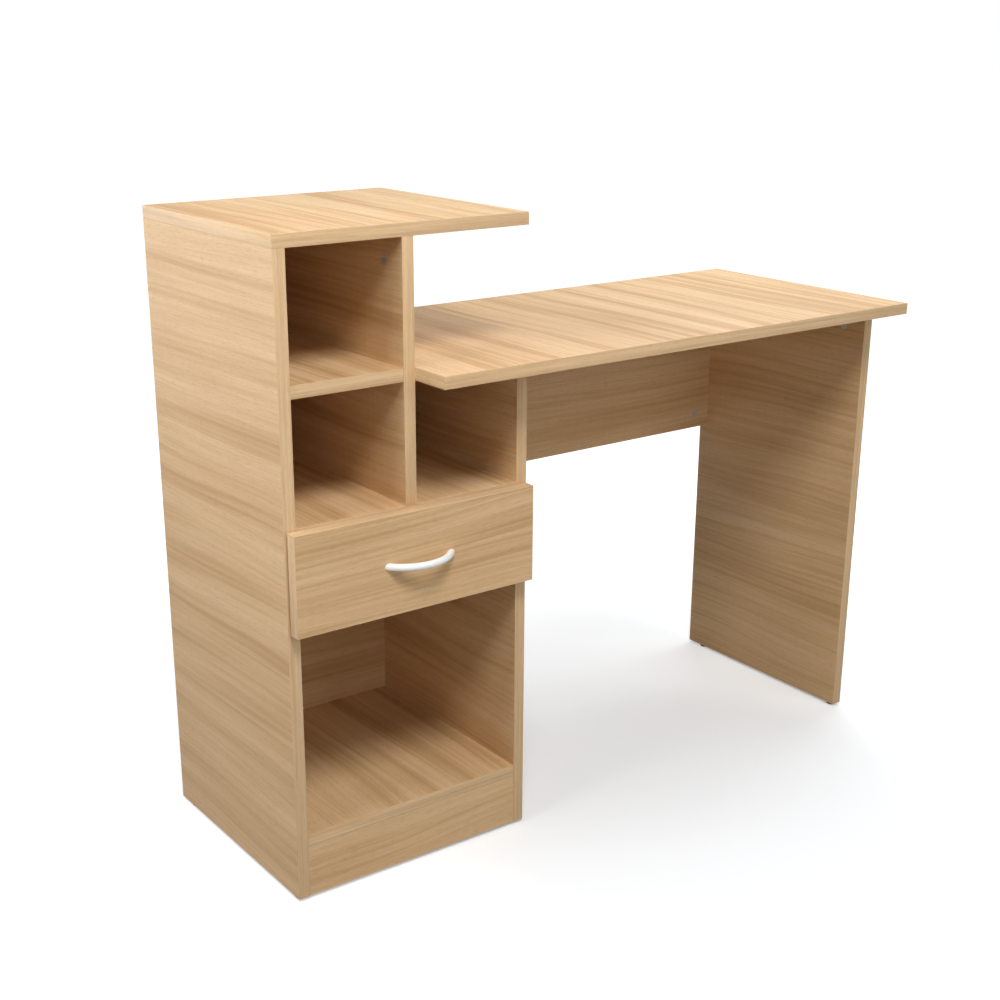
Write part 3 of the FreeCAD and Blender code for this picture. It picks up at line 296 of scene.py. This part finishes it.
lamps = [
    softbox("key_softbox", (-0.9, -1.45, 2.6), (-0.3, 0.0, 0.6), 0.7, 0.7, 38.0),
    softbox("side_softbox", (-1.8, -0.1, 1.75), (-0.5, 0.0, 0.7), 0.8, 0.8, 15.5),
    softbox("desk_softbox", (1.15, 0.40, 1.9), (0.5, 0.0, 0.7), 1.0, 0.8, 14.5),
    softbox("front_fill", (-1.6, -3.2, 1.6), (0.0, 0.0, 0.5), 2.4, 2.4, 11.5),
    softbox("right_fill", (1.3, -2.8, 1.9), (0.4, 0.0, 0.6), 1.4, 1.4, 17.5),
    softbox("sheen_softbox", (-1.5, 1.75, 0.85), (-0.62, 0.0, 0.95), 0.9, 0.9, 1.2, SHEEN_GRID),
]
print(len(lamps), "lamps,", round(sum(lamp.data.energy for lamp in lamps), 1), "watts")

# %% [markdown]
# ## Oak figure
#
# The laminate shows straight-grained light oak. Seen along the grain it has four sizes of
# detail: broad bands of warmer and paler wood a few centimetres wide, growth lines of a few
# millimetres, fine fibres, and open pores, which are short dark dashes. All four are noise,
# stretched far along the grain. A slow wave moves them sideways a little, so no line is ruler
# straight. The group reads coordinates whose X runs along the grain, so one group serves every
# board whichever way its grain lies.

# %% Group: oak figure
# Each detail's features per metre along, across and through, its noise's detail and roughness,
# and the two noise values that are stretched to nought and one.
OAK_DETAILS = {
    "Bands": ((1.1, 26.0, 26.0), 2.0, 0.5, 0.30, 0.70),
    "Lines": ((2.6, 150.0, 40.0), 2.0, 0.6, 0.32, 0.68),
    "Fibres": ((9.0, 700.0, 90.0), 1.0, 0.5, 0.30, 0.70),
    "Pores": ((60.0, 2200.0, 300.0), 1.0, 0.5, 0.60, 0.72),
}
SLOW_WAVE = (1.6, 7.0, 7.0)


def build_oak_figure():
    tree, given, result = new_group(
        "oak_figure",
        [("Vector", "NodeSocketVector", (0, 0, 0)), ("Sway", "NodeSocketFloat", 0.0)],
        [(name, "NodeSocketFloat") for name in OAK_DETAILS],
    )
    vector = given.outputs["Vector"]
    drift = noise(tree, vector, SLOW_WAVE, detail=1.0)
    centred = math_node(tree, "SUBTRACT", drift, 0.5)
    sideways = math_node(tree, "MULTIPLY", centred, given.outputs["Sway"])
    shift = add(tree, "ShaderNodeCombineXYZ", {"Y": sideways}).outputs[0]
    swayed = add(tree, "ShaderNodeVectorMath", {0: vector, 1: shift}, operation="ADD").outputs[0]
    for name, (features, detail, roughness, low, high) in OAK_DETAILS.items():
        pattern = noise(tree, swayed, features, detail, roughness)
        tree.links.new(spread(tree, pattern, low, high), result.inputs[name])
    return tree


oak_figure = build_oak_figure()
print("oak figure:", [item.name for item in oak_figure.interface.items_tree])

# %% [markdown]
# ## Chipboard core
#
# Under the laminate the boards are chipboard. It shows on the edges that have no band, at the
# table's back and underneath, and in the bores. Its flakes are Voronoi cells of different
# tones, flattened towards the faces because the board is pressed.

# %% Group: chipboard core
FLAKE_PALE = colour(214, 184, 140)
FLAKE_DARK = colour(150, 112, 74)
FLAKES_PER_METRE = (320.0, 320.0, 900.0)
DUST_PER_METRE = 1500.0
DUST_SHARE = 0.35


def build_chipboard():
    tree, given, result = new_group(
        "chipboard_core",
        [("Vector", "NodeSocketVector", (0, 0, 0))],
        [("Color", "NodeSocketColor"), ("Relief", "NodeSocketFloat")],
    )
    vector = given.outputs["Vector"]
    stretch = {0: vector, 1: FLAKES_PER_METRE}
    pressed = add(tree, "ShaderNodeVectorMath", stretch, operation="MULTIPLY").outputs[0]
    flakes = add(tree, "ShaderNodeTexVoronoi", {"Vector": pressed, "Scale": 1.0})
    flake_tone = add(tree, "ShaderNodeSeparateColor", {0: flakes.outputs["Color"]}).outputs[0]
    dust = noise(tree, vector, DUST_PER_METRE, 2.0, 0.6)
    tone = part_and_rest(tree, dust, DUST_SHARE, flake_tone)
    tree.links.new(mixed_colour(tree, tone, FLAKE_DARK, FLAKE_PALE), result.inputs["Color"])
    tree.links.new(tone, result.inputs["Relief"])
    return tree


chipboard = build_chipboard()
print("chipboard core ready")

# %% [markdown]
# ## Handling marks
#
# Nothing in a home is evenly shiny. Hands and dusters leave faint cloudy marks that only change
# the gloss. The same group serves the laminate, the handle and the fittings: it puts out a
# roughness that wanders a little about a value given to it.

# %% Group: handling marks
CLOUDS_PER_METRE = 9.0


def build_handling_marks():
    tree, given, result = new_group(
        "handling_marks",
        [
            ("Vector", "NodeSocketVector", (0, 0, 0)),
            ("Roughness", "NodeSocketFloat", 0.4),
            ("Strength", "NodeSocketFloat", 0.1),
        ],
        [("Roughness", "NodeSocketFloat")],
    )
    clouds = noise(tree, given.outputs["Vector"], CLOUDS_PER_METRE, 4.0, 0.6)
    centred = math_node(tree, "SUBTRACT", clouds, 0.5)
    change = math_node(tree, "MULTIPLY", centred, given.outputs["Strength"])
    rough = math_node(tree, "ADD", given.outputs["Roughness"], change, clamp=True)
    tree.links.new(rough, result.inputs["Roughness"])
    return tree


handling_marks = build_handling_marks()
print("handling marks ready")

# %% [markdown]
# ## Parts of a material
#
# Every material below starts from the same shader. Most of them end with the same two steps: a
# roughness with handling marks, and a height pattern that tilts the surface as if it were a
# fraction of a millimetre deep. Wood also needs to know which way its grain runs and which faces
# are the broad ones.

# %% Material helpers
AXES = "XYZ"


def new_material(name):
    """A material with an empty tree apart from its shader and output; returns all three."""
    material = bpy.data.materials.new(name)
    material.use_nodes = True
    tree = material.node_tree
    tree.nodes.clear()
    shader = add(tree, "ShaderNodeBsdfPrincipled")
    add(tree, "ShaderNodeOutputMaterial", {"Surface": shader.outputs[0]})
    return material, tree, shader


def worn(tree, place, roughness, strength):
    """A roughness that wanders about a value by up to half the strength."""
    marks = place_group(tree, handling_marks, Vector=place, Roughness=roughness, Strength=strength)
    return marks.outputs["Roughness"]


def cover(tree, shader, base, rough):
    """Link a colour and a roughness to the shader."""
    tree.links.new(base, shader.inputs["Base Color"])
    tree.links.new(rough, shader.inputs["Roughness"])


def raised(tree, shader, height, strength, distance):
    """A height pattern that tilts the surface; distance is its depth in metres."""
    inputs = {"Height": height, "Strength": strength, "Distance": distance}
    bump = add(tree, "ShaderNodeBump", inputs)
    tree.links.new(bump.outputs[0], shader.inputs["Normal"])


def grain_vector(tree, grain, thin, offset):
    """Object coordinates turned so that X runs along the grain and Z through the board."""
    across = next(axis for axis in AXES if axis not in (grain, thin))
    place = add(tree, "ShaderNodeTexCoord").outputs["Object"]
    parts = add(tree, "ShaderNodeSeparateXYZ", {0: place}).outputs
    turns = {"X": parts[grain], "Y": parts[across], "Z": parts[thin]}
    turned = add(tree, "ShaderNodeCombineXYZ", turns).outputs[0]
    return add(tree, "ShaderNodeMapping", {"Vector": turned, "Location": offset}).outputs[0]


def facing(tree, axis):
    """One where a face looks along an axis, minus one against it, and nought across it."""
    normal = add(tree, "ShaderNodeTexCoord").outputs["Normal"]
    return add(tree, "ShaderNodeSeparateXYZ", {0: normal}).outputs[axis]


def dress(node, material):
    """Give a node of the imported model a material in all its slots."""
    mesh = nodes[node].data
    if not mesh.materials:
        mesh.materials.append(material)
    for index in range(len(mesh.materials)):
        mesh.materials[index] = material


print("material helpers ready")

# %% [markdown]
# ## Laminated boards
#
# Each board gets a material of its own, so that no two boards repeat the same figure. Four
# things differ: the way the grain runs, the axis that the board is thin along, how bold the
# figure is, and an offset into the pattern. On the broad faces the material shows the oak
# figure, and on all other faces the chipboard core. It tells them apart by the direction that a
# face looks in.

# %% Oak colours
OAK_PALE = colour(237, 204, 161)
OAK_MIDDLE = colour(226, 189, 142)
OAK_DEEP = colour(199, 159, 112)
OAK_PORE = colour(150, 111, 72)
LINE_SHARE = 0.40
DEEP_UP_TO, PALE_FROM = 0.08, 0.92
FIBRE_DEPTH = 0.35
PORE_DEPTH = 0.45


def oak_colour(tree, figure, boldness=1.0):
    """The laminate's colour: bands and lines mix three woods, then fibres and pores darken."""
    bands, lines = figure.outputs["Bands"], figure.outputs["Lines"]
    tone = part_and_rest(tree, lines, LINE_SHARE, bands)
    margin = (1.0 - 1.0 / boldness) / 2
    bold = spread(tree, tone, margin, 1.0 - margin)
    ramp = add(tree, "ShaderNodeValToRGB", {"Fac": bold})
    ramp.color_ramp.elements[0].color = OAK_DEEP
    ramp.color_ramp.elements[0].position = DEEP_UP_TO
    ramp.color_ramp.elements[1].color = OAK_PALE
    ramp.color_ramp.elements[1].position = PALE_FROM
    ramp.color_ramp.elements.new(0.5).color = OAK_MIDDLE
    fibre_share = spread(tree, figure.outputs["Fibres"], 0.0, 1.0, FIBRE_DEPTH, 0.0)
    fibred = mixed_colour(tree, fibre_share, ramp.outputs["Color"], OAK_DEEP)
    pore_share = math_node(tree, "MULTIPLY", figure.outputs["Pores"], PORE_DEPTH)
    return mixed_colour(tree, pore_share, fibred, OAK_PORE)


print("oak colours ready")

# %% [markdown]
# The board's material chooses between its two surfaces. The core is duller than the laminate,
# and its coarse flakes stand out more than the wood's fibres and pores.

# %% Material: laminated board
LAMINATE_SHEEN = 0.3
LAMINATE_ROUGHNESS = 0.58
CORE_ROUGHNESS = 0.85
LAMINATE_WEAR = 0.12
BOARD_SWAY = 0.05
FIBRE_HEIGHT, PORE_HEIGHT, FLAKE_HEIGHT = 0.5, -0.5, 3.0


def oak_board(name, grain, thin, boldness, offset):
    """Oak laminate on a board's two broad faces, and chipboard on all others."""
    material, tree, shader = new_material("laminate_" + name)
    shader.inputs["Specular IOR Level"].default_value = LAMINATE_SHEEN
    vector = grain_vector(tree, grain, thin, offset)
    figure = place_group(tree, oak_figure, Vector=vector, Sway=BOARD_SWAY)
    core = place_group(tree, chipboard, Vector=vector)
    broadside = math_node(tree, "ABSOLUTE", facing(tree, thin))
    is_face = math_node(tree, "GREATER_THAN", broadside, 0.5)
    face_colour = oak_colour(tree, figure, boldness)
    surface = mixed_colour(tree, is_face, core.outputs["Color"], face_colour)
    marked = worn(tree, vector, LAMINATE_ROUGHNESS, LAMINATE_WEAR)
    dull_core = spread(tree, is_face, 0.0, 1.0, CORE_ROUGHNESS, 0.0)
    cover(tree, shader, surface, math_node(tree, "MAXIMUM", dull_core, marked))
    pores = math_node(tree, "MULTIPLY", figure.outputs["Pores"], PORE_HEIGHT)
    wood = math_node(tree, "MULTIPLY_ADD", figure.outputs["Fibres"], FIBRE_HEIGHT, pores)
    flakes = math_node(tree, "MULTIPLY", core.outputs["Relief"], FLAKE_HEIGHT)
    height = mixed_number(tree, is_face, flakes, wood)
    raised(tree, shader, height, strength=0.35, distance=0.00012)
    return material


print("laminated board ready")

# %% [markdown]
# The grain of the side panels, the tower's top, the shelves and the desktop runs from front to
# back. On the plinth, the drawer's front and the modesty panel it runs from left to right. The
# flat boards that catch most light get a bolder figure, or it would wash out.

# %% Dress the boards
BOARDS = {
    "tower_left_side": ("Y", "X", 1.0),
    "tower_right_side": ("Y", "X", 1.0),
    "tower_divider": ("Y", "X", 1.0),
    "leg_panel": ("Y", "X", 1.0),
    "drawer_left_side": ("Y", "X", 1.0),
    "drawer_right_side": ("Y", "X", 1.0),
    "tower_top": ("Y", "Z", 1.6),
    "small_shelf": ("Y", "Z", 1.2),
    "shelf_above_drawer": ("Y", "Z", 1.2),
    "bottom_shelf": ("Y", "Z", 1.2),
    "desktop": ("Y", "Z", 1.5),
    "plinth": ("X", "Y", 1.0),
    "drawer_front": ("X", "Y", 1.2),
    "drawer_back": ("X", "Y", 1.0),
    "modesty_panel": ("X", "Y", 1.0),
}
PATTERN_STEP = (1.7, 0.73, 0.31)

for index, (board, (grain, thin, boldness)) in enumerate(BOARDS.items()):
    offset = [index * step for step in PATTERN_STEP]
    dress(board, oak_board(board, grain, thin, boldness, offset))
print(len(BOARDS), "boards dressed")

# %% [markdown]
# ## Edge bands
#
# A band is a strip of plastic one millimetre thick, glued to the board's edge and trimmed with
# a small radius. That radius is what catches the light along every edge, so the plain strips of
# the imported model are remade: a cube at the strip's size, with the four edges of its outward
# face bevelled. The strip's grain runs along it.

# %% Material: edge band
BAND_PALE = colour(236, 203, 160)
BAND_DEEP = colour(208, 171, 126)
BAND_FIBRE_SHARE = 0.35
BAND_PORE_DEPTH = 0.30
BAND_ROUGHNESS = 0.52
BAND_SWAY = 0.01


def band_material(name, grain, thin, offset):
    """Printed plastic: the oak's lines and fibres without its broad bands."""
    material, tree, shader = new_material("band_" + name)
    shader.inputs["Specular IOR Level"].default_value = LAMINATE_SHEEN
    vector = grain_vector(tree, grain, thin, offset)
    figure = place_group(tree, oak_figure, Vector=vector, Sway=BAND_SWAY)
    fibres, lines = figure.outputs["Fibres"], figure.outputs["Lines"]
    tone = part_and_rest(tree, fibres, BAND_FIBRE_SHARE, lines)
    base = mixed_colour(tree, tone, BAND_DEEP, BAND_PALE)
    pore_share = math_node(tree, "MULTIPLY", figure.outputs["Pores"], BAND_PORE_DEPTH)
    printed = mixed_colour(tree, pore_share, base, OAK_PORE)
    cover(tree, shader, printed, worn(tree, vector, BAND_ROUGHNESS, LAMINATE_WEAR))
    raised(tree, shader, fibres, strength=0.25, distance=0.0001)
    return material


print("edge band ready")

# %% [markdown]
# The helpers for a strip work as one would by hand: add a cube, scale it, go into edit mode,
# select the four edges of the outward face and bevel them. Edges are picked by the place of
# their ends, because there is nobody to click on them.

# %% Helpers for pieces
BAND_RADIUS = 0.0004
BEVEL_STEPS = 3
SMOOTH_BELOW = math.radians(40)


def select_edges(wanted):
    """In edit mode, select only the edges whose two ends pass a test."""
    bpy.ops.mesh.select_all(action="DESELECT")
    bpy.ops.object.mode_set(mode="OBJECT")
    mesh = bpy.context.object.data
    for edge in mesh.edges:
        edge.select = all(wanted(mesh.vertices[index].co) for index in edge.vertices)
    bpy.ops.object.mode_set(mode="EDIT")


def finish_piece(name, body, material):
    """Name and smooth the active piece, apply its place and let it ride on a body."""
    piece = bpy.context.object
    piece.name = name
    piece.data.name = name
    bpy.ops.object.shade_smooth_by_angle(angle=SMOOTH_BELOW)
    bpy.ops.object.transform_apply(location=True, rotation=True, scale=True)
    piece.data.materials.append(material)
    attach(piece, body)
    return piece


def edge_strip(name, low, high, outward, node, body, material):
    """A band between two corners, with the edges of its outward face bevelled."""
    bpy.ops.object.select_all(action="DESELECT")
    bpy.ops.mesh.primitive_cube_add(size=1, location=(low + high) / 2)
    bpy.context.object.scale = high - low
    bpy.ops.object.transform_apply(location=True, rotation=True, scale=True)
    sign, axis = outward[0], AXES.index(outward[1])
    face = (high if sign == "+" else low)[axis]
    bpy.ops.object.mode_set(mode="EDIT")
    bpy.ops.mesh.select_mode(type="EDGE")
    select_edges(lambda point: abs(point[axis] - face) < BAND_RADIUS / 2)
    bpy.ops.mesh.bevel(offset=BAND_RADIUS, segments=BEVEL_STEPS, profile=0.5, affect="EDGES")
    bpy.ops.object.mode_set(mode="OBJECT")
    piece = finish_piece(name, body, material)
    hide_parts(node)


print("piece helpers ready")

# %% [markdown]
# Seven boards have a band on one edge only: six at the front, and the modesty panel underneath.

# %% Single bands
SINGLE_BANDS = {
    "left_side_edge_band": "Z",
    "right_side_edge_band": "Z",
    "divider_edge_band": "Z",
    "small_shelf_edge_band": "X",
    "shelf_above_drawer_edge_band": "X",
    "bottom_shelf_edge_band": "X",
}
STRIP_STEP = (0.9, 0.37, 0.21)
strip_count = 0


def next_offset():
    """A fresh place in the pattern for every strip."""
    global strip_count
    strip_count += 1
    return [strip_count * step for step in STRIP_STEP]


for node, grain in SINGLE_BANDS.items():
    low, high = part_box(node)
    material = band_material(node, grain, "Y", next_offset())
    edge_strip(node + "_eased", low, high, "-Y", node, "table", material)

low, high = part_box("modesty_panel_edge_band")
material = band_material("modesty_panel", "X", "Z", next_offset())
edge_strip(
    "modesty_panel_edge_band_eased", low, high, "-Z", "modesty_panel_edge_band", "table", material
)
print(strip_count, "single bands")

# %% [markdown]
# The tower's top, the desktop and the drawer's front have bands all round. Two long strips
# cover the full width, and two run between them. The leg panel has one in front and one behind.

# %% Bands all round a board
BAND = 0.001


def moved(corner, axis, value):
    """A corner with one coordinate changed."""
    copy = Vector(corner)
    copy[AXES.index(axis)] = value
    return copy


def edge_slice(low, high, outward):
    """The corners of the slice, one band thick, at one side of a box."""
    sign, axis = outward
    index = AXES.index(axis)
    if sign == "-":
        return low, moved(high, axis, low[index] + BAND)
    return moved(low, axis, high[index] - BAND), high


def band_frame(node, body, across, between):
    """Four strips: two across the full width, two between them."""
    low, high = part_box(node)
    index = AXES.index(between)
    inner_low = moved(low, between, low[index] + BAND)
    inner_high = moved(high, between, high[index] - BAND)
    pairs = ((across, between, low, high), (between, across, inner_low, inner_high))
    for grain, axis, pair_low, pair_high in pairs:
        for sign, end in (("-", "low"), ("+", "high")):
            start, stop = edge_slice(pair_low, pair_high, sign + axis)
            material = band_material(node + sign + axis, grain, axis, next_offset())
            edge_strip(f"{node}_{axis}_{end}", start, stop, sign + axis, node, body, material)


band_frame("tower_top_edge_bands", "table", "X", "Y")
band_frame("desktop_edge_bands", "table", "X", "Y")
band_frame("drawer_front_edge_bands", "drawer", "X", "Z")

low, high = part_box("leg_panel_edge_bands")
for end, outward in (("front", "-Y"), ("back", "+Y")):
    start, stop = edge_slice(low, high, outward)
    material = band_material("leg_panel_" + end, "Z", "Y", next_offset())
    name = "leg_panel_band_" + end
    edge_strip(name, start, stop, outward, "leg_panel_edge_bands", "table", material)
print(strip_count, "bands so far")

# %% [markdown]
# The drawer's box has a band on top of each side and of its back. The back's band runs between
# the sides and starts where the back starts.

# %% Bands on the drawer's box
low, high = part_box("drawer_box_edge_bands")
side_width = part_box("drawer_left_side")[1].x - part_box("drawer_left_side")[0].x
inner_left, inner_right = low.x + side_width, high.x - side_width
back_start = moved(moved(low, "X", inner_left), "Y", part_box("drawer_back")[0].y)
for part, start, stop, grain in (
    ("left", low, moved(high, "X", inner_left), "Y"),
    ("right", moved(low, "X", inner_right), high, "Y"),
    ("back", back_start, moved(high, "X", inner_right), "X"),
):
    material = band_material("drawer_box_" + part, grain, "Z", next_offset())
    name = "drawer_box_band_" + part
    edge_strip(name, start, stop, "+Z", "drawer_box_edge_bands", "drawer", material)
print(strip_count, "bands in all")

# %% [markdown]
# ## Back sheets
#
# The thin sheets at the back are printed with the same oak on the side that shows in the
# cubbies. Their rear is bare brown hardboard, which is a mat of fine fibres. The drawer's bottom
# is the same sheet with its print on top.

# %% Material: back sheets and drawer bottom
HARDBOARD_PALE = colour(162, 124, 88)
HARDBOARD_DARK = colour(124, 90, 61)
MAT_FIBRES_PER_METRE = 420.0
BARE_ROUGHNESS, PRINT_ROUGHNESS = 0.8, 0.5


def sheet_material(name, grain, thin, printed_side, offset):
    """Hardboard with oak printed on the side that looks along plus or minus its thin axis."""
    material, tree, shader = new_material("sheet_" + name)
    vector = grain_vector(tree, grain, thin, offset)
    figure = place_group(tree, oak_figure, Vector=vector, Sway=BOARD_SWAY)
    printed = oak_colour(tree, figure)
    mat_fibres = noise(tree, vector, MAT_FIBRES_PER_METRE, 4.0, 0.7)
    bare = mixed_colour(tree, mat_fibres, HARDBOARD_DARK, HARDBOARD_PALE)
    sign = 1.0 if printed_side == "+" else -1.0
    toward = math_node(tree, "MULTIPLY", facing(tree, thin), sign)
    is_printed = math_node(tree, "GREATER_THAN", toward, 0.5)
    surface = mixed_colour(tree, is_printed, bare, printed)
    rough = spread(tree, is_printed, 0.0, 1.0, BARE_ROUGHNESS, PRINT_ROUGHNESS)
    cover(tree, shader, surface, rough)
    raised(tree, shader, mat_fibres, strength=0.3, distance=0.0002)
    return material


dress("back_sheet_upper", sheet_material("upper", "X", "Y", "-", (0.4, 2.1, 0.0)))
dress("back_sheet_lower", sheet_material("lower", "X", "Y", "-", (1.4, 3.3, 0.0)))
dress("drawer_bottom", sheet_material("drawer", "X", "Z", "+", (2.4, 4.7, 0.0)))
print("sheets dressed")

# %% [markdown]
# ## The bow handle
#
# The handle is a white rod, round in section, bent to one even arc, and its two ends are cut
# flat where they meet the drawer's front. It is modelled the same way: a circle is spun about
# the middle of the arc, a little past the drawer's front at both ends, and the front's plane
# then cuts the ends off and closes them. The arc's radius follows from the handle's width and
# from how far it stands out, because the rod's outer edge has to pass through both.

# %% Model the handle
RING_POINTS = 32
BOW_STEPS = 72
PAST_THE_FRONT = 0.06
WELD_DISTANCE = 0.00001


def build_handle(material):
    low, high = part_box("drawer_handle")
    rod = (high.z - low.z) / 2
    level = (high.z + low.z) / 2
    middle = (high.x + low.x) / 2
    half_width = (high.x - low.x) / 2
    wall = high.y
    reach = wall - low.y - rod
    bow = (half_width**2 - rod**2 + reach**2) / (2 * (reach + rod))
    half_turn = math.acos((bow - reach) / (bow + rod)) + PAST_THE_FRONT
    centre = (middle, wall - reach + bow, level)
    start = (middle - bow * math.sin(half_turn), centre[1] - bow * math.cos(half_turn), level)
    bpy.ops.object.select_all(action="DESELECT")
    bpy.ops.mesh.primitive_circle_add(
        vertices=RING_POINTS,
        radius=rod,
        fill_type="NOTHING",
        location=start,
        rotation=(math.pi / 2, 0, math.pi / 2 - half_turn),
    )
    bpy.ops.object.transform_apply(location=True, rotation=True, scale=True)
    bpy.ops.object.mode_set(mode="EDIT")
    bpy.ops.mesh.select_all(action="SELECT")
    bpy.ops.mesh.spin(steps=BOW_STEPS, angle=-2 * half_turn, center=centre, axis=(0, 0, 1))
    bpy.ops.mesh.select_all(action="SELECT")
    bpy.ops.mesh.remove_doubles(threshold=WELD_DISTANCE)
    bpy.ops.mesh.select_all(action="SELECT")
    bpy.ops.mesh.bisect(
        plane_co=(middle, wall, level), plane_no=(0, 1, 0), use_fill=True, clear_outer=True
    )
    bpy.ops.mesh.select_all(action="SELECT")
    bpy.ops.mesh.normals_make_consistent(inside=False)
    bpy.ops.object.mode_set(mode="OBJECT")
    handle = finish_piece("bow_handle", "drawer", material)
    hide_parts("drawer_handle")
    print("handle:", len(handle.data.polygons), "faces, bow radius", round(bow * 1000, 1), "mm")


def white_rod_material():
    """Satin white with the faintest clouds, smoother than the other fittings."""
    material, tree, shader = new_material("white_handle")
    place = add(tree, "ShaderNodeTexCoord").outputs["Object"]
    cast = noise(tree, place, 160.0, 3.0, 0.5)
    tone = mixed_colour(tree, cast, colour(247, 247, 245), colour(253, 253, 252))
    cover(tree, shader, tone, worn(tree, place, roughness=0.26, strength=0.16))
    skin = noise(tree, place, 1400.0, 2.0, 0.5)
    raised(tree, shader, skin, strength=0.08, distance=0.0001)
    return material


build_handle(white_rod_material())

# %% [markdown]
# ## Small fittings
#
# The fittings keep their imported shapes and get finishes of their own. The cam locks are dull
# cast zinc, and the screws, nails, bolts and pins have bright zinc plate.

# %% Materials: metal fittings
PLATED = (
    "cam_bolts", "drawer_cam_bolts", "divider_screws", "back_sheet_nails", "drawer_bottom_nails",
    "cabinet_runner_screws", "drawer_runner_screws", "handle_screws",
    "cabinet_roller_pins", "drawer_roller_pins",
)


def metal_material(name, pale, deep, roughness, grit, metallic=1.0):
    """Metal whose colour and gloss wander with fine grit; a dull skin is less metallic."""
    material, tree, shader = new_material(name)
    place = add(tree, "ShaderNodeTexCoord").outputs["Object"]
    fine = noise(tree, place, grit, 4.0, 0.65)
    tone = mixed_colour(tree, fine, deep, pale)
    cover(tree, shader, tone, worn(tree, place, roughness, strength=0.25))
    shader.inputs["Metallic"].default_value = metallic
    raised(tree, shader, fine, strength=0.35, distance=0.0001)
    return material


cast_zinc = metal_material(
    "cast_zinc", colour(217, 208, 194), colour(190, 182, 169),
    roughness=0.50, grit=900.0, metallic=0.25,
)
plated_steel = metal_material(
    "plated_steel", colour(214, 214, 208), colour(180, 181, 180), roughness=0.30, grit=500.0
)
for node in ("cam_locks", "drawer_cam_locks"):
    dress(node, cast_zinc)
for node in PLATED:
    dress(node, plated_steel)
print("metal fittings dressed")

# %% [markdown]
# The dowels are raw beech, the runners have a white powder coat, the rollers are nylon, the
# bumpers clear soft plastic and the glides brown plastic. All of these have a fine skin, faint
# clouds in the colour and a worn gloss, and differ only in colour and in how coarse the skin is.

# %% Materials: wood, plastic and paint
ENDS = [f"{side}_{part}" for side in ("left", "right") for part in ("cabinet", "drawer")]
# Each finish's pale and deep colour, roughness, grains per metre, relief and nodes.
FINISHES = {
    "brown_plastic": ((124, 96, 72), (96, 72, 52), 0.50, 1500.0, 0.20, ["foot_glides"]),
    "white_enamel": (
        (236, 235, 230), (224, 223, 217), 0.38, 700.0, 0.25, [end + "_runner" for end in ENDS]
    ),
    "white_nylon": (
        (226, 224, 214), (204, 201, 188), 0.42, 900.0, 0.12, [end + "_roller" for end in ENDS]
    ),
    "clear_rubber": ((214, 214, 210), (190, 190, 186), 0.35, 600.0, 0.15, ["drawer_bumpers"]),
    "raw_beech": (
        (214, 178, 134), (184, 144, 100), 0.75, 2500.0, 0.50, ["dowels", "drawer_dowels"]
    ),
}
COLOUR_CLOUDS_PER_METRE = 60.0


def moulded_material(name, pale, deep, roughness, grains, relief):
    """Moulded, painted or planed surface: a fine skin, faint clouds in the colour, worn gloss."""
    material, tree, shader = new_material(name)
    place = add(tree, "ShaderNodeTexCoord").outputs["Object"]
    clouds = noise(tree, place, COLOUR_CLOUDS_PER_METRE, 4.0, 0.6)
    tone = mixed_colour(tree, clouds, deep, pale)
    cover(tree, shader, tone, worn(tree, place, roughness, strength=0.15))
    skin = noise(tree, place, grains, 2.0, 0.5)
    raised(tree, shader, skin, strength=relief, distance=0.0002)
    return material


for name, (pale, deep, roughness, grains, relief, wearers) in FINISHES.items():
    finish = moulded_material(name, colour(*pale), colour(*deep), roughness, grains, relief)
    for node in wearers:
        dress(node, finish)
    print(name, "on", len(wearers), "nodes")
